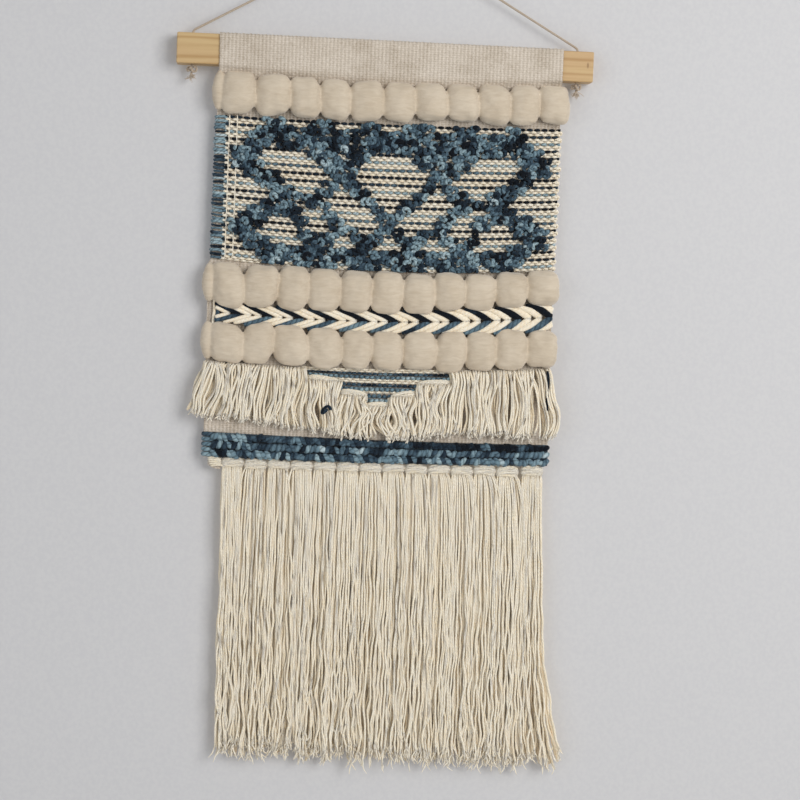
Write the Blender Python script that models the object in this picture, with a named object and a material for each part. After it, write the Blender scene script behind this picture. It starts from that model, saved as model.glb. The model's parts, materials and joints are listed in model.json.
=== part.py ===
"""Woven wall hanging on a wooden batten.

Metres, +Z up, the front faces -Y and the wall is on the +Y side. The origin is the hook's top,
under the middle of the hanging cord. X = 0 is the middle of the batten and Y = 0 its mid-depth.
Everything is stacked downwards from the batten, so a changed height moves all that is below it.
"""
import math

import bmesh
import bpy
from mathutils import Vector
from mathutils.geometry import intersect_point_line

# ---- driving dimensions -------------------------------------------------------------------
GAP = 0.0003                 # running gap between pieces that touch
SOFT_GAP = 0.0006            # gap between neighbouring bundles of strands
CUTTER_REACH = 1.2           # a cutter's length as a share of what it goes through

PANEL_WIDTH = 0.350
OVERHANG_LEFT = 0.0433       # batten past the cloth
OVERHANG_RIGHT = 0.0317
BATTEN_HEIGHT = 0.031
BATTEN_DEPTH = 0.020
BATTEN_EDGE = 0.0012
BATTEN_TOP_Z = -0.1117       # drop from the hook to the batten's top face

CORD_RADIUS = 0.0012
CORD_HOLE_RADIUS = 0.0016
CORD_HOLE_INSET = 0.0155     # hole's axis from the batten's end
CORD_MOUTH_DROP = 0.0004     # the stretch in the hole stops this far under the mouth
CORD_STEP = 0.0075
KNOT_RADIUS = 0.0036
KNOT_LENGTH = 0.0085
KNOT_TAIL = 0.0120
KNOT_TAIL_RADIUS = 0.0024

SLEEVE_WALL = 0.0012
SLEEVE_CORNER = 0.0020
SLEEVE_TAIL = 0.0021         # stitched edge under the batten, two cloths thick
SEAM_RADIUS = 0.0007

CLOTH_THICKNESS = 0.0030
ROVING_DROP = 0.0008         # top roving below the panel's top edge
ROVING_TOP_HEIGHT = 0.0472
ROVING_HEIGHT = 0.0468
ROVING_PROUD = 0.0165
ROVING_PUFFS = 11
ROVING_OVER_LEFT = 0.0052    # the roving turns round the panel's left edge
ROVING_TOP_OVER_RIGHT = 0.0110
ROVING_OVER_RIGHT = 0.0055
ROVING_BACK = 0.0040         # how far the turned end reaches behind the panel's front

PATTERN_HEIGHT = 0.1417
PATTERN_GAP = 0.0010
PATTERN_SHIFT = 0.0041       # the pattern's middle lies right of the panel's middle
PILE_ROWS = 20
PILE_COLUMN = 0.00763        # two warps
PILE_PROUD = 0.0070
PILE_HALF_PITCH = 0.02448    # half of one zigzag

# A row of lumps, as shares of one lump's length and of its full section.
LUMP_WAIST = 0.80            # section between two lumps
LUMP_CREST = 0.97
LUMP_SHOULDER = 0.25         # where the crest starts
LUMP_TIP = 0.08              # length of the row's rounded ends
LUMP_TIP_SECTION = 0.44
LUMP_HEIGHT_SHARE = 0.45     # how much of the height follows the section
TURN_SECTION = 0.60          # least section where a row turns round the panel's edge

BRAID_ROW_HEIGHT = 0.0068
BRAID_PROUD = 0.0055
PLAIN_ZONE = 0.0712          # between the lower roving and the blue band
ACCENT_HEIGHT = 0.0050
ACCENT_PROUD = 0.0022
ACCENT_DROPS = (0.0033, 0.0156, 0.0257)    # from the roving's lower edge
BAND_ROW_HEIGHT = 0.0103
BAND_PROUD = 0.0050

FRINGE_THICKNESS = 0.0080
FRINGE_MIDDLE_EDGES = (0.012, 0.039, 0.0725)   # half-spans of the stepped tufts
FRINGE_OUTER_TUFTS = 3
FRINGE_OVER = 0.0050         # outermost tuft past the panel's edge
FRINGE_SPREAD = 1.05
FRINGE_BOTTOM_GAP = 0.0030   # tuft ends above the blue band

# A bundle of strands, as shares of its length and of its thickness.
BUNDLE_FULL_FROM = 0.35
BUNDLE_FULL_TO = 0.85
BUNDLE_FOOT = 0.60

TASSELS = 14
TASSEL_MARGIN_LEFT = 0.0183
TASSEL_MARGIN_RIGHT = 0.0061
TAB_INSET = 0.0030           # plain corner of the cloth left of the first tassel
TAB_GAP = 0.0010
TASSEL_KNOT_HEIGHT = 0.0150
TASSEL_KNOT_DEPTH = 0.0110
TASSEL_KNOT_ROUND = 0.0030
TASSEL_THICKNESS = 0.0100
TASSEL_BULGE = 0.0012
TASSEL_LENGTH = 0.2780
TASSEL_FLARE_LEFT = 0.0050
TASSEL_FLARE_RIGHT = 0.0200

# The cord's right half, from the hole's mouth to the top of the hook, x and z in metres.
CORD_ROUTE = [
    (0.19700, -0.11140), (0.19670, -0.10969), (0.19583, -0.10819), (0.19445, -0.10704),
    (0.18000, -0.09893), (0.15000, -0.08209), (0.11000, -0.05965), (0.07000, -0.03720),
    (0.03500, -0.01756), (0.01200, -0.00465), (0.00600, -0.00128), (0.00300, 0.00043),
    (0.00150, 0.00102), (0.00000, 0.00120),
]

# Right half of the looped trellis. Across: half pitches from its middle. Down: share of its height.
PILE_WIDE_RADIUS = 0.0092
PILE_WIDE = [
    [(0, 0.16), (1, 0.06), (2, 0.16), (3, 0.06), (4, 0.16), (5, 0.06), (6.2, 0.27), (4.3, 0.53),
     (6.3, 0.755), (5, 0.92)],
    [(1, 0.15), (2.2, 0.34), (3.3, 0.15)],
    [(0, 0.90), (1, 0.93), (2, 0.90), (3, 0.93), (4, 0.90), (5, 0.93)],
]
PILE_FINE_RADIUS = 0.0048
PILE_FINE = [
    [(2.2, 0.36), (1.44, 0.44), (0.9, 0.54), (0.35, 0.61), (0, 0.69), (0.45, 0.74), (1, 0.86)],
    [(2.2, 0.36), (2.65, 0.47), (3.2, 0.54), (4.3, 0.53)],
    [(3.3, 0.54), (2.62, 0.59), (1.9, 0.70), (1.45, 0.76), (1, 0.84)],
    [(1.9, 0.70), (2.4, 0.76), (3, 0.86)],
    [(4.3, 0.56), (3.8, 0.69), (3, 0.84)],
]

# ---- derived places -----------------------------------------------------------------------
BATTEN_LENGTH = PANEL_WIDTH + OVERHANG_LEFT + OVERHANG_RIGHT
PANEL_X = (OVERHANG_LEFT - OVERHANG_RIGHT) / 2
PANEL_LEFT = PANEL_X - PANEL_WIDTH / 2
PANEL_RIGHT = PANEL_X + PANEL_WIDTH / 2
HOLE_X = BATTEN_LENGTH / 2 - CORD_HOLE_INSET
BATTEN_BOTTOM_Z = BATTEN_TOP_Z - BATTEN_HEIGHT
SLEEVE_OUT = GAP + SLEEVE_WALL                       # sleeve's outside from the batten's faces
TAIL_BOTTOM_Z = BATTEN_BOTTOM_Z - SLEEVE_OUT - SLEEVE_TAIL
SEAM_Z = TAIL_BOTTOM_Z - GAP - SEAM_RADIUS
PANEL_TOP_Z = SEAM_Z - SEAM_RADIUS - GAP
FACE_Y = -CLOTH_THICKNESS / 2 - GAP                  # back of what lies on the panel's front

ROVING_TOP_Z = PANEL_TOP_Z - ROVING_DROP
PATTERN_Z = ROVING_TOP_Z - ROVING_TOP_HEIGHT - PATTERN_GAP
ROVING_MIDDLE_Z = PATTERN_Z - PATTERN_HEIGHT - PATTERN_GAP
BRAID_Z = ROVING_MIDDLE_Z - ROVING_HEIGHT - GAP
ROVING_LOWER_Z = BRAID_Z - 2 * (BRAID_ROW_HEIGHT + GAP)
PLAIN_Z = ROVING_LOWER_Z - ROVING_HEIGHT
BAND_Z = PLAIN_Z - PLAIN_ZONE
PANEL_BOTTOM_Z = BAND_Z - 2 * (BAND_ROW_HEIGHT + GAP)
KNOT_TOP_Z = PANEL_BOTTOM_Z - GAP
KNOT_BOTTOM_Z = KNOT_TOP_Z - TASSEL_KNOT_HEIGHT
TASSEL_HINGE_Z = KNOT_BOTTOM_Z - GAP - TASSEL_THICKNESS / 2
FRINGE_Y = FACE_Y - FRINGE_THICKNESS / 2

PINE = ((0.62, 0.44, 0.23), 0.55)
CORD = ((0.50, 0.42, 0.33), 0.85)
COTTON = ((0.72, 0.67, 0.56), 0.90)
WOOL = ((0.63, 0.56, 0.44), 0.95)
NAVY = ((0.03, 0.06, 0.10), 0.90)
TEAL = ((0.08, 0.17, 0.23), 0.90)


# ---- helpers --------------------------------------------------------------------------------
def finish_material(name, look):
    colour, roughness = look
    material = bpy.data.materials.new(name)
    material.use_nodes = True
    shader = material.node_tree.nodes["Principled BSDF"]
    shader.inputs["Base Color"].default_value = (*colour, 1.0)
    shader.inputs["Roughness"].default_value = roughness
    shader.inputs["Metallic"].default_value = 0.0
    return material


def place(name, data, look, location=(0, 0, 0), parent=None):
    """One named sub-part with its own material, at its own origin."""
    piece = bpy.data.objects.new(name, data)
    bpy.context.scene.collection.objects.link(piece)
    piece.location = Vector(location)
    if parent is not None:
        piece.parent = parent
        piece.location -= parent.matrix_world.translation
    data.materials.append(finish_material(name, look))
    bpy.context.view_layer.update()
    return piece


def to_mesh(name, bm, smooth_angle=None):
    bmesh.ops.recalc_face_normals(bm, faces=bm.faces)
    mesh = bpy.data.meshes.new(name)
    bm.to_mesh(mesh)
    bm.free()
    if smooth_angle is not None:
        mesh.shade_smooth()
        mesh.set_sharp_from_angle(angle=math.radians(smooth_angle))
    return mesh


def skin(rings):
    """Closed solid through a row of rings that all have the same number of points."""
    bm = bmesh.new()
    rows = [[bm.verts.new(point) for point in ring] for ring in rings]
    count = len(rows[0])
    for near, far in zip(rows, rows[1:]):
        for i in range(count):
            j = (i + 1) % count
            bm.faces.new((near[i], near[j], far[j], far[i]))
    bm.faces.new(reversed(rows[0]))
    bm.faces.new(rows[-1])
    return bm


def block(size, round_edge=0.0, segments=2):
    """Box about its own middle, with its edges rounded."""
    bm = bmesh.new()
    bmesh.ops.create_cube(bm, size=1.0)
    bmesh.ops.scale(bm, vec=size, verts=bm.verts)
    if round_edge > 0:
        bmesh.ops.bevel(bm, geom=bm.edges[:], offset=round_edge, segments=segments, profile=0.5,
                        affect="EDGES")
    return bm


def rod(radius, length, sides=12):
    """Cylinder about its own middle, along Z."""
    bm = bmesh.new()
    bmesh.ops.create_cone(bm, cap_ends=True, segments=sides, radius1=radius, radius2=radius,
                          depth=length)
    return bm


def cut(piece, cutter):
    cutter.hide_render = True
    cutter.display_type = "WIRE"
    modifier = piece.modifiers.new(cutter.name, "BOOLEAN")
    modifier.operation = "DIFFERENCE"
    modifier.solver = "EXACT"
    modifier.object = cutter


def prism(outline, x_low, x_high):
    """Outline in Y and Z, drawn out along X. Each end's x is a function of z."""
    return skin([[(edge(z), y, z) for y, z in outline] for edge in (x_low, x_high)])


def round_corner(centre_y, centre_z, radius, start, steps=3):
    """Quarter arc from the angle start, in degrees, anticlockwise in Y and Z."""
    angles = [math.radians(start + 90 * i / steps) for i in range(steps + 1)]
    return [(centre_y + radius * math.cos(a), centre_z + radius * math.sin(a)) for a in angles]


# ---- batten and cord ------------------------------------------------------------------------
def make_batten():
    bm = block((BATTEN_LENGTH, BATTEN_DEPTH, BATTEN_HEIGHT), BATTEN_EDGE)
    bmesh.ops.translate(bm, verts=bm.verts, vec=(0, 0, -BATTEN_HEIGHT / 2))
    batten = place("batten", to_mesh("batten", bm), PINE, (0, 0, BATTEN_TOP_Z))
    for side, x in (("left", -HOLE_X), ("right", HOLE_X)):
        drill = rod(CORD_HOLE_RADIUS, BATTEN_HEIGHT * CUTTER_REACH)
        centre = (x, 0, (BATTEN_TOP_Z + BATTEN_BOTTOM_Z) / 2)
        cut(batten, place(f"cord_drill_{side}", to_mesh("cord_drill", drill), PINE, centre))
    return batten


def smooth_route(corners, step):
    """Points on a smooth curve through the route's own points, about one step apart."""
    points = []
    last = len(corners) - 1
    for i in range(last):
        before, start, end, after = (corners[max(0, min(last, i + k))] for k in (-1, 0, 1, 2))
        pieces = max(1, round((end - start).length / step))
        reach = (end - start).length
        lead = (end - before).normalized() * reach
        trail = (after - start).normalized() * reach
        for k in range(pieces):
            t = k / pieces
            points.append(start * (2 * t ** 3 - 3 * t ** 2 + 1) + lead * (t ** 3 - 2 * t ** 2 + t)
                          + end * (3 * t ** 2 - 2 * t ** 3) + trail * (t ** 3 - t ** 2))
    return points + [corners[-1]]


def make_hanging_cord():
    right = [Vector((x, 0, z)) for x, z in CORD_ROUTE]
    left = [Vector((-p.x, 0, p.z)) for p in right[:-1]]
    points = smooth_route(left + right[::-1], CORD_STEP)
    curve = bpy.data.curves.new("hanging_cord", "CURVE")
    curve.dimensions = "3D"
    curve.bevel_depth = CORD_RADIUS
    curve.bevel_resolution = 2
    curve.use_fill_caps = True
    spline = curve.splines.new("POLY")
    spline.points.add(len(points) - 1)
    for target, point in zip(spline.points, points):
        target.co = (*point, 1.0)
    place("hanging_cord", curve, CORD)


def make_cord_ends(batten):
    """The cord's stretch in each hole, and the knot with its frayed tail under the batten."""
    stub_top = BATTEN_TOP_Z - CORD_MOUTH_DROP
    stub_length = stub_top - BATTEN_BOTTOM_Z
    knot_top = BATTEN_BOTTOM_Z - GAP
    turned = [(0.55, 0.0), (0.90, 0.15), (1.0, 0.45), (0.85, 0.80), (0.38, 1.0)]
    profile = [(KNOT_RADIUS * r, -KNOT_LENGTH * d) for r, d in turned]
    profile.append((KNOT_TAIL_RADIUS, -KNOT_LENGTH - KNOT_TAIL))
    angles = [2 * math.pi * i / 10 for i in range(10)]
    for side, x in (("left", -HOLE_X), ("right", HOLE_X)):
        stub = to_mesh("cord_in_hole", rod(CORD_RADIUS, stub_length, 8), 40)
        place(f"cord_in_hole_{side}", stub, CORD, (x, 0, stub_top - stub_length / 2), batten)
        rings = [[(r * math.cos(a), r * math.sin(a), z) for a in angles] for r, z in profile]
        knot = to_mesh("cord_knot", skin(rings), 50)
        place(f"cord_knot_{side}", knot, CORD, (x, 0, knot_top), batten)


# ---- cloth ------------------------------------------------------------------------------------
def make_sleeve(batten):
    """Rod pocket round the batten, closed by a stitched edge of two cloths underneath."""
    half = BATTEN_DEPTH / 2 + SLEEVE_OUT
    top, bottom = SLEEVE_OUT, -BATTEN_HEIGHT - SLEEVE_OUT
    tail = SLEEVE_WALL
    inner = half - SLEEVE_CORNER
    outline = (round_corner(inner, top - SLEEVE_CORNER, SLEEVE_CORNER, 0)
               + round_corner(-inner, top - SLEEVE_CORNER, SLEEVE_CORNER, 90)
               + round_corner(-inner, bottom + SLEEVE_CORNER, SLEEVE_CORNER, 180)
               + [(-tail, bottom), (-tail, bottom - SLEEVE_TAIL), (tail, bottom - SLEEVE_TAIL),
                  (tail, bottom)]
               + round_corner(inner, bottom + SLEEVE_CORNER, SLEEVE_CORNER, 270))
    half_width = PANEL_WIDTH / 2
    bm = prism(outline, lambda z: -half_width, lambda z: half_width)
    sleeve = place("rod_sleeve", to_mesh("rod_sleeve", bm, 40), COTTON,
                   (PANEL_X, 0, BATTEN_TOP_Z), batten)
    pocket = block((PANEL_WIDTH * CUTTER_REACH, BATTEN_DEPTH + 2 * GAP, BATTEN_HEIGHT + 2 * GAP))
    centre = (PANEL_X, 0, BATTEN_TOP_Z - BATTEN_HEIGHT / 2)
    cut(sleeve, place("pocket_cutter", to_mesh("pocket_cutter", pocket), COTTON, centre))
    seam = rod(SEAM_RADIUS, PANEL_WIDTH, 8)
    bmesh.ops.rotate(seam, verts=seam.verts,
                     matrix=Vector((0, 0, 1)).rotation_difference(Vector((1, 0, 0))).to_matrix())
    place("sleeve_seam", to_mesh("sleeve_seam", seam, 40), COTTON, (PANEL_X, 0, SEAM_Z), sleeve)
    return sleeve


def make_panel(sleeve):
    """The woven cloth, with its plain corner beside the first tassel. Its origin is on the seam."""
    half = PANEL_WIDTH / 2
    tab_left, tab_right = -half + TAB_INSET, -half + TASSEL_MARGIN_LEFT - TAB_GAP
    top, bottom, tab_bottom = (z - SEAM_Z for z in (PANEL_TOP_Z, PANEL_BOTTOM_Z, KNOT_BOTTOM_Z))
    outline = [(-half, top), (-half, bottom), (tab_left, bottom), (tab_left, tab_bottom),
               (tab_right, tab_bottom), (tab_right, bottom), (half, bottom), (half, top)]
    side = CLOTH_THICKNESS / 2
    bm = skin([[(x, y, z) for x, z in outline] for y in (-side, side)])
    return place("woven_panel", to_mesh("woven_panel", bm), COTTON, (PANEL_X, 0, SEAM_Z), sleeve)


def beaded_row(name, look, span, count, top_z, height, proud, panel, arc=7):
    """A yarn or roving laid across the panel's front as a row of rounded lumps.

    Past the panel's edges the row also reaches back round the edge.
    """
    left, right = span
    pitch = (right - left) / count
    shoulder, tip = pitch * LUMP_SHOULDER, pitch * LUMP_TIP
    xs = [(left, LUMP_TIP_SECTION), (left + tip, LUMP_WAIST)]
    for i in range(count):
        start = left + i * pitch
        xs += [(start + shoulder, LUMP_CREST), (start + pitch - shoulder, LUMP_CREST)]
        if i < count - 1:
            xs.append((start + pitch, LUMP_WAIST))
    xs += [(right - tip, LUMP_WAIST), (right, LUMP_TIP_SECTION)]
    rings = []
    for x, scale in split_at_edges(xs):
        beyond = x < PANEL_LEFT - GAP or x > PANEL_RIGHT + GAP
        back = ROVING_BACK if beyond else FACE_Y
        reach = (proud + (back - FACE_Y)) * (max(scale, TURN_SECTION) if beyond else scale)
        half = height / 2 * (1 - LUMP_HEIGHT_SHARE + LUMP_HEIGHT_SHARE * scale)
        angles = [math.pi * i / arc for i in range(arc + 1)]
        rings.append([(x - PANEL_X, back - reach * math.sin(a), -half * math.cos(a))
                      for a in angles])
    mesh = to_mesh(name, skin(rings), 50)
    return place(name, mesh, look, (PANEL_X, 0, top_z - height / 2), panel)


def split_at_edges(xs):
    """Adds a ring on either side of each panel edge that the row passes."""
    clear = GAP / 4
    result = []
    for (x, scale), after in zip(xs, xs[1:] + [None]):
        result.append((x, scale))
        if after is None:
            continue
        for edge, sign in ((PANEL_LEFT - GAP, -1), (PANEL_RIGHT + GAP, 1)):
            if x < edge < after[0]:
                share = (edge - x) / (after[0] - x)
                between = scale + share * (after[1] - scale)
                result += [(edge - clear, between), (edge + clear, between)]
    return result


def pile_lines():
    """Every stretch of the trellis as (start, end, half width), both halves, in X and Z."""
    middle = PANEL_X + PATTERN_SHIFT
    stretches = []
    for lines, radius in ((PILE_WIDE, PILE_WIDE_RADIUS), (PILE_FINE, PILE_FINE_RADIUS)):
        for line in lines:
            for side in (1, -1):
                points = [Vector((middle + side * across * PILE_HALF_PITCH,
                                  PATTERN_Z - down * PATTERN_HEIGHT, 0)) for across, down in line]
                stretches += [(a, b, radius) for a, b in zip(points, points[1:])]
    return stretches


def near_line(point, stretch):
    start, end, radius = stretch
    foot, share = intersect_point_line(point, start, end)
    foot = start if share < 0 else end if share > 1 else foot
    return (point - foot).length <= radius


def make_loop_pile(panel):
    """Looped pile: the weave's cells that the trellis covers, raised off the cloth."""
    margin = ROVING_DROP
    columns = int((PANEL_WIDTH - 2 * margin) // PILE_COLUMN)
    row_height = PATTERN_HEIGHT / PILE_ROWS
    left = PANEL_X - columns * PILE_COLUMN / 2
    stretches = pile_lines()
    filled = set()
    for column in range(columns):
        for row in range(PILE_ROWS):
            centre = Vector((left + (column + 0.5) * PILE_COLUMN,
                             PATTERN_Z - (row + 0.5) * row_height, 0))
            if any(near_line(centre, stretch) for stretch in stretches):
                filled.add((column, row))
    close_diagonals(filled, columns)

    bm = bmesh.new()
    corners = {}

    def corner(column, row):
        if (column, row) not in corners:
            x = left + column * PILE_COLUMN - PANEL_X
            corners[column, row] = bm.verts.new((x, FACE_Y, -row * row_height))
        return corners[column, row]

    for column, row in sorted(filled):
        bm.faces.new([corner(column + i, row + j) for i, j in ((0, 0), (0, 1), (1, 1), (1, 0))])
    bmesh.ops.dissolve_limit(bm, angle_limit=math.radians(1), verts=bm.verts, edges=bm.edges)
    raised = bmesh.ops.extrude_face_region(bm, geom=bm.faces[:], use_keep_orig=True)
    front = [item for item in raised["geom"] if isinstance(item, bmesh.types.BMVert)]
    bmesh.ops.translate(bm, verts=front, vec=(0, -PILE_PROUD, 0))
    place("loop_pile", to_mesh("loop_pile", bm), TEAL, (PANEL_X, 0, PATTERN_Z), panel)


def close_diagonals(filled, columns):
    """Fills a cell wherever two filled cells meet at a corner only."""
    changed = True
    while changed:
        changed = False
        for column in range(columns - 1):
            for row in range(PILE_ROWS - 1):
                square = [(column, row), (column + 1, row), (column, row + 1),
                          (column + 1, row + 1)]
                inside = [cell in filled for cell in square]
                if inside in ([True, False, False, True], [False, True, True, False]):
                    filled.add(square[inside.index(False)])
                    changed = True


def make_woven_rows(panel):
    left = PANEL_LEFT - ROVING_OVER_LEFT
    top_span = (left, PANEL_RIGHT + ROVING_TOP_OVER_RIGHT)
    span = (left, PANEL_RIGHT + ROVING_OVER_RIGHT)
    rovings = (("roving_row_top", top_span, ROVING_TOP_Z, ROVING_TOP_HEIGHT),
               ("roving_row_middle", span, ROVING_MIDDLE_Z, ROVING_HEIGHT),
               ("roving_row_lower", span, ROVING_LOWER_Z, ROVING_HEIGHT))
    for name, reach, top_z, height in rovings:
        beaded_row(name, WOOL, reach, ROVING_PUFFS, top_z, height, ROVING_PROUD, panel)

    inset = CLOTH_THICKNESS / 2
    full = (PANEL_LEFT + inset, PANEL_RIGHT - inset)
    for i, name in enumerate(("soumak_braid_upper", "soumak_braid_lower")):
        top_z = BRAID_Z - i * (BRAID_ROW_HEIGHT + GAP)
        beaded_row(name, COTTON, full, ROVING_PUFFS, top_z, BRAID_ROW_HEIGHT, BRAID_PROUD, panel,
                   arc=5)
    for i, name in enumerate(("blue_band_upper", "blue_band_lower")):
        top_z = BAND_Z - i * (BAND_ROW_HEIGHT + GAP)
        beaded_row(name, NAVY, full, 2 * ROVING_PUFFS, top_z, BAND_ROW_HEIGHT, BAND_PROUD, panel,
                   arc=5)
    for i, (drop, half) in enumerate(zip(ACCENT_DROPS, reversed(FRINGE_MIDDLE_EDGES))):
        reach = (PANEL_X - half, PANEL_X + half)
        lumps = max(3, round(2 * half / ACCENT_HEIGHT / 2))
        beaded_row(f"accent_row_{i + 1}", NAVY, reach, lumps, PLAIN_Z - drop, ACCENT_HEIGHT,
                   ACCENT_PROUD, panel, arc=4)


# ---- fringes ----------------------------------------------------------------------------------
def bundle(name, hinge, top_span, bottom_span, thickness, bulge, length, parent):
    """A limp bundle of strands that hangs from a round top, whose axis is its hinge."""
    radius = thickness / 2
    outline = [(radius * math.cos(math.radians(a)), radius * math.sin(math.radians(a)))
               for a in range(0, 181, 36)]
    full, foot = radius + bulge, radius * BUNDLE_FOOT
    from_z, to_z = -length * BUNDLE_FULL_FROM, -length * BUNDLE_FULL_TO
    outline += [(-full, from_z), (-full, to_z), (-foot, -length), (foot, -length), (full, to_z),
                (full, from_z)]
    x, y, z = hinge

    def edge(top, bottom):
        return lambda depth: top - x + (bottom - top) * -depth / length

    bm = prism(outline, edge(top_span[0], bottom_span[0]), edge(top_span[1], bottom_span[1]))
    place(name, to_mesh(name, bm, 40), COTTON, (x, y, z), parent)


def make_short_fringe(panel):
    """Tufts in front of the panel: three outer ones a side, then steps down to the middle one."""
    outer_half = PANEL_WIDTH / 2 + FRINGE_OVER
    inner_half = FRINGE_MIDDLE_EDGES[-1]
    outer_width = (outer_half - inner_half) / FRINGE_OUTER_TUFTS
    right = list(FRINGE_MIDDLE_EDGES)
    right += [inner_half + outer_width * (i + 1) for i in range(FRINGE_OUTER_TUFTS)]
    edges = [-e for e in reversed(right)] + right
    radius = FRINGE_THICKNESS / 2
    steps = [PLAIN_Z - GAP] + [PLAIN_Z - drop - ACCENT_HEIGHT - GAP for drop in ACCENT_DROPS]
    bottom = BAND_Z + FRINGE_BOTTOM_GAP
    middle = (len(edges) - 2) // 2
    for i, (low, high) in enumerate(zip(edges, edges[1:])):
        step = max(0, len(ACCENT_DROPS) - abs(i - middle))
        hinge_z = steps[step] - radius
        span = (PANEL_X + low + SOFT_GAP / 2, PANEL_X + high - SOFT_GAP / 2)
        spread = (PANEL_X + low * FRINGE_SPREAD + SOFT_GAP / 2,
                  PANEL_X + high * FRINGE_SPREAD - SOFT_GAP / 2)
        hinge = (sum(span) / 2, FRINGE_Y, hinge_z)
        bundle(f"short_fringe_{i + 1:02d}", hinge, span, spread, FRINGE_THICKNESS, 0.0,
               hinge_z - bottom, panel)


def make_long_fringe(panel):
    """Lark's-head knots along the panel's lower edge, and the tassel that hangs from each."""
    left, right = PANEL_LEFT + TASSEL_MARGIN_LEFT, PANEL_RIGHT - TASSEL_MARGIN_RIGHT
    pitch = (right - left) / TASSELS
    foot_left, foot_right = left - TASSEL_FLARE_LEFT, right + TASSEL_FLARE_RIGHT
    foot_pitch = (foot_right - foot_left) / TASSELS
    knot = to_mesh("tassel_knot", block((pitch - SOFT_GAP, TASSEL_KNOT_DEPTH, TASSEL_KNOT_HEIGHT),
                                        TASSEL_KNOT_ROUND), 50)
    for i in range(TASSELS):
        middle = left + (i + 0.5) * pitch
        number = f"{i + 1:02d}"
        place(f"tassel_knot_{number}", knot.copy(), COTTON,
              (middle, 0, KNOT_TOP_Z - TASSEL_KNOT_HEIGHT / 2), panel)
        span = (middle - pitch / 2 + SOFT_GAP / 2, middle + pitch / 2 - SOFT_GAP / 2)
        foot = (foot_left + i * foot_pitch + SOFT_GAP / 2,
                foot_left + (i + 1) * foot_pitch - SOFT_GAP / 2)
        bundle(f"tassel_{number}", (middle, 0, TASSEL_HINGE_Z), span, foot, TASSEL_THICKNESS,
               TASSEL_BULGE, TASSEL_LENGTH, panel)


def main():
    for leftover in list(bpy.data.objects):
        bpy.data.objects.remove(leftover, do_unlink=True)
    batten = make_batten()
    make_hanging_cord()
    make_cord_ends(batten)
    sleeve = make_sleeve(batten)
    panel = make_panel(sleeve)
    make_woven_rows(panel)
    make_loop_pile(panel)
    make_short_fringe(panel)
    make_long_fringe(panel)


main()
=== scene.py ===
"""The finished look of a woven wall hanging.

Every yarn, puff of roving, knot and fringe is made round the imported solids, and so is the wall it hangs on.
"""
import json
import math
import random

import bmesh
import bpy
import numpy as np
from mathutils import Matrix, Vector, noise
from mathutils.bvhtree import BVHTree

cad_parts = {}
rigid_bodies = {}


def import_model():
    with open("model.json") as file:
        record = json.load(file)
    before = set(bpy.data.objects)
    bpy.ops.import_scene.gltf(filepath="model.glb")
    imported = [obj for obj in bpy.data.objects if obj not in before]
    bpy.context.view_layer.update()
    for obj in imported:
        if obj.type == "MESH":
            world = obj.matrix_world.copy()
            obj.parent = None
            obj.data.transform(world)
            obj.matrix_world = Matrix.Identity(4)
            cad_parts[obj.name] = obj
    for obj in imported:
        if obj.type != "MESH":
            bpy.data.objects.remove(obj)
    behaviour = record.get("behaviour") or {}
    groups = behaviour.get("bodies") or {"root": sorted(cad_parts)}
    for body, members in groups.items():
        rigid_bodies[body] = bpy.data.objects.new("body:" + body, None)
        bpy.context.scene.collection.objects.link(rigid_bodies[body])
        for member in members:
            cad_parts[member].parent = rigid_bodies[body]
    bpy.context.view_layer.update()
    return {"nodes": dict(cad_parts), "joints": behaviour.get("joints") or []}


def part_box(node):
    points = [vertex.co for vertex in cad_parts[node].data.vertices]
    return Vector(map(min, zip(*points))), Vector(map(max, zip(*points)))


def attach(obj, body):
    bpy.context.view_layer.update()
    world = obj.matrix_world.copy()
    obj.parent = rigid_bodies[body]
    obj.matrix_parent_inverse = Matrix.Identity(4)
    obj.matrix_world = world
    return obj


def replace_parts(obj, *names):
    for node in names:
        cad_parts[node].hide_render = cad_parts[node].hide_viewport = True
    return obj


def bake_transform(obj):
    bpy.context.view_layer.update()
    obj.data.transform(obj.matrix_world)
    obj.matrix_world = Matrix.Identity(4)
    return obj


MM = 0.001
TURN = 2 * math.pi

for leftover in list(bpy.data.objects):
    bpy.data.objects.remove(leftover)

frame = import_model()

# ---------------------------------------------------------------- places, all read from the frame

PANEL_LOW, PANEL_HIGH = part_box("woven_panel")
PANEL_LEFT, PANEL_RIGHT = PANEL_LOW.x, PANEL_HIGH.x
PANEL_WIDTH = PANEL_RIGHT - PANEL_LEFT
PANEL_X = (PANEL_LEFT + PANEL_RIGHT) / 2
PANEL_TOP, TAB_BOTTOM = PANEL_HIGH.z, PANEL_LOW.z
FACE_Y = PANEL_LOW.y - 0.3 * MM
SLEEVE_LOW, SLEEVE_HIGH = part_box("rod_sleeve")
BATTEN_LOW, BATTEN_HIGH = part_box("batten")
PILE_LOW, PILE_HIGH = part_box("loop_pile")
BAND_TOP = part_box("blue_band_upper")[1].z
BAND_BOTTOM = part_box("blue_band_lower")[0].z
BRAID_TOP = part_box("soumak_braid_upper")[1].z
BRAID_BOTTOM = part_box("soumak_braid_lower")[0].z
LOWER_ROVING_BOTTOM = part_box("roving_row_lower")[0].z
JOINT_PLACE = {joint["child"]: joint.get("pos_m") for joint in frame["joints"]}
TUFT_BEND = (2 * MM, 7 * MM)    # the span above and below a tuft's hinge, handed to bend_at
TASSEL_BEND = (5 * MM, 6 * MM)

# ---------------------------------------------------------------- the cloth's own measures

WARP_PITCH = 3.8 * MM           # from one warp to the next
BEAD_PITCH = 2 * WARP_PITCH     # a weft shows over every second warp
WEFT_PITCH = 2.3 * MM           # rows of the plain weave
PATTERN_ROWS = 20
PATTERN_PITCH = (PILE_HIGH.z - PILE_LOW.z) / PATTERN_ROWS

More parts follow.
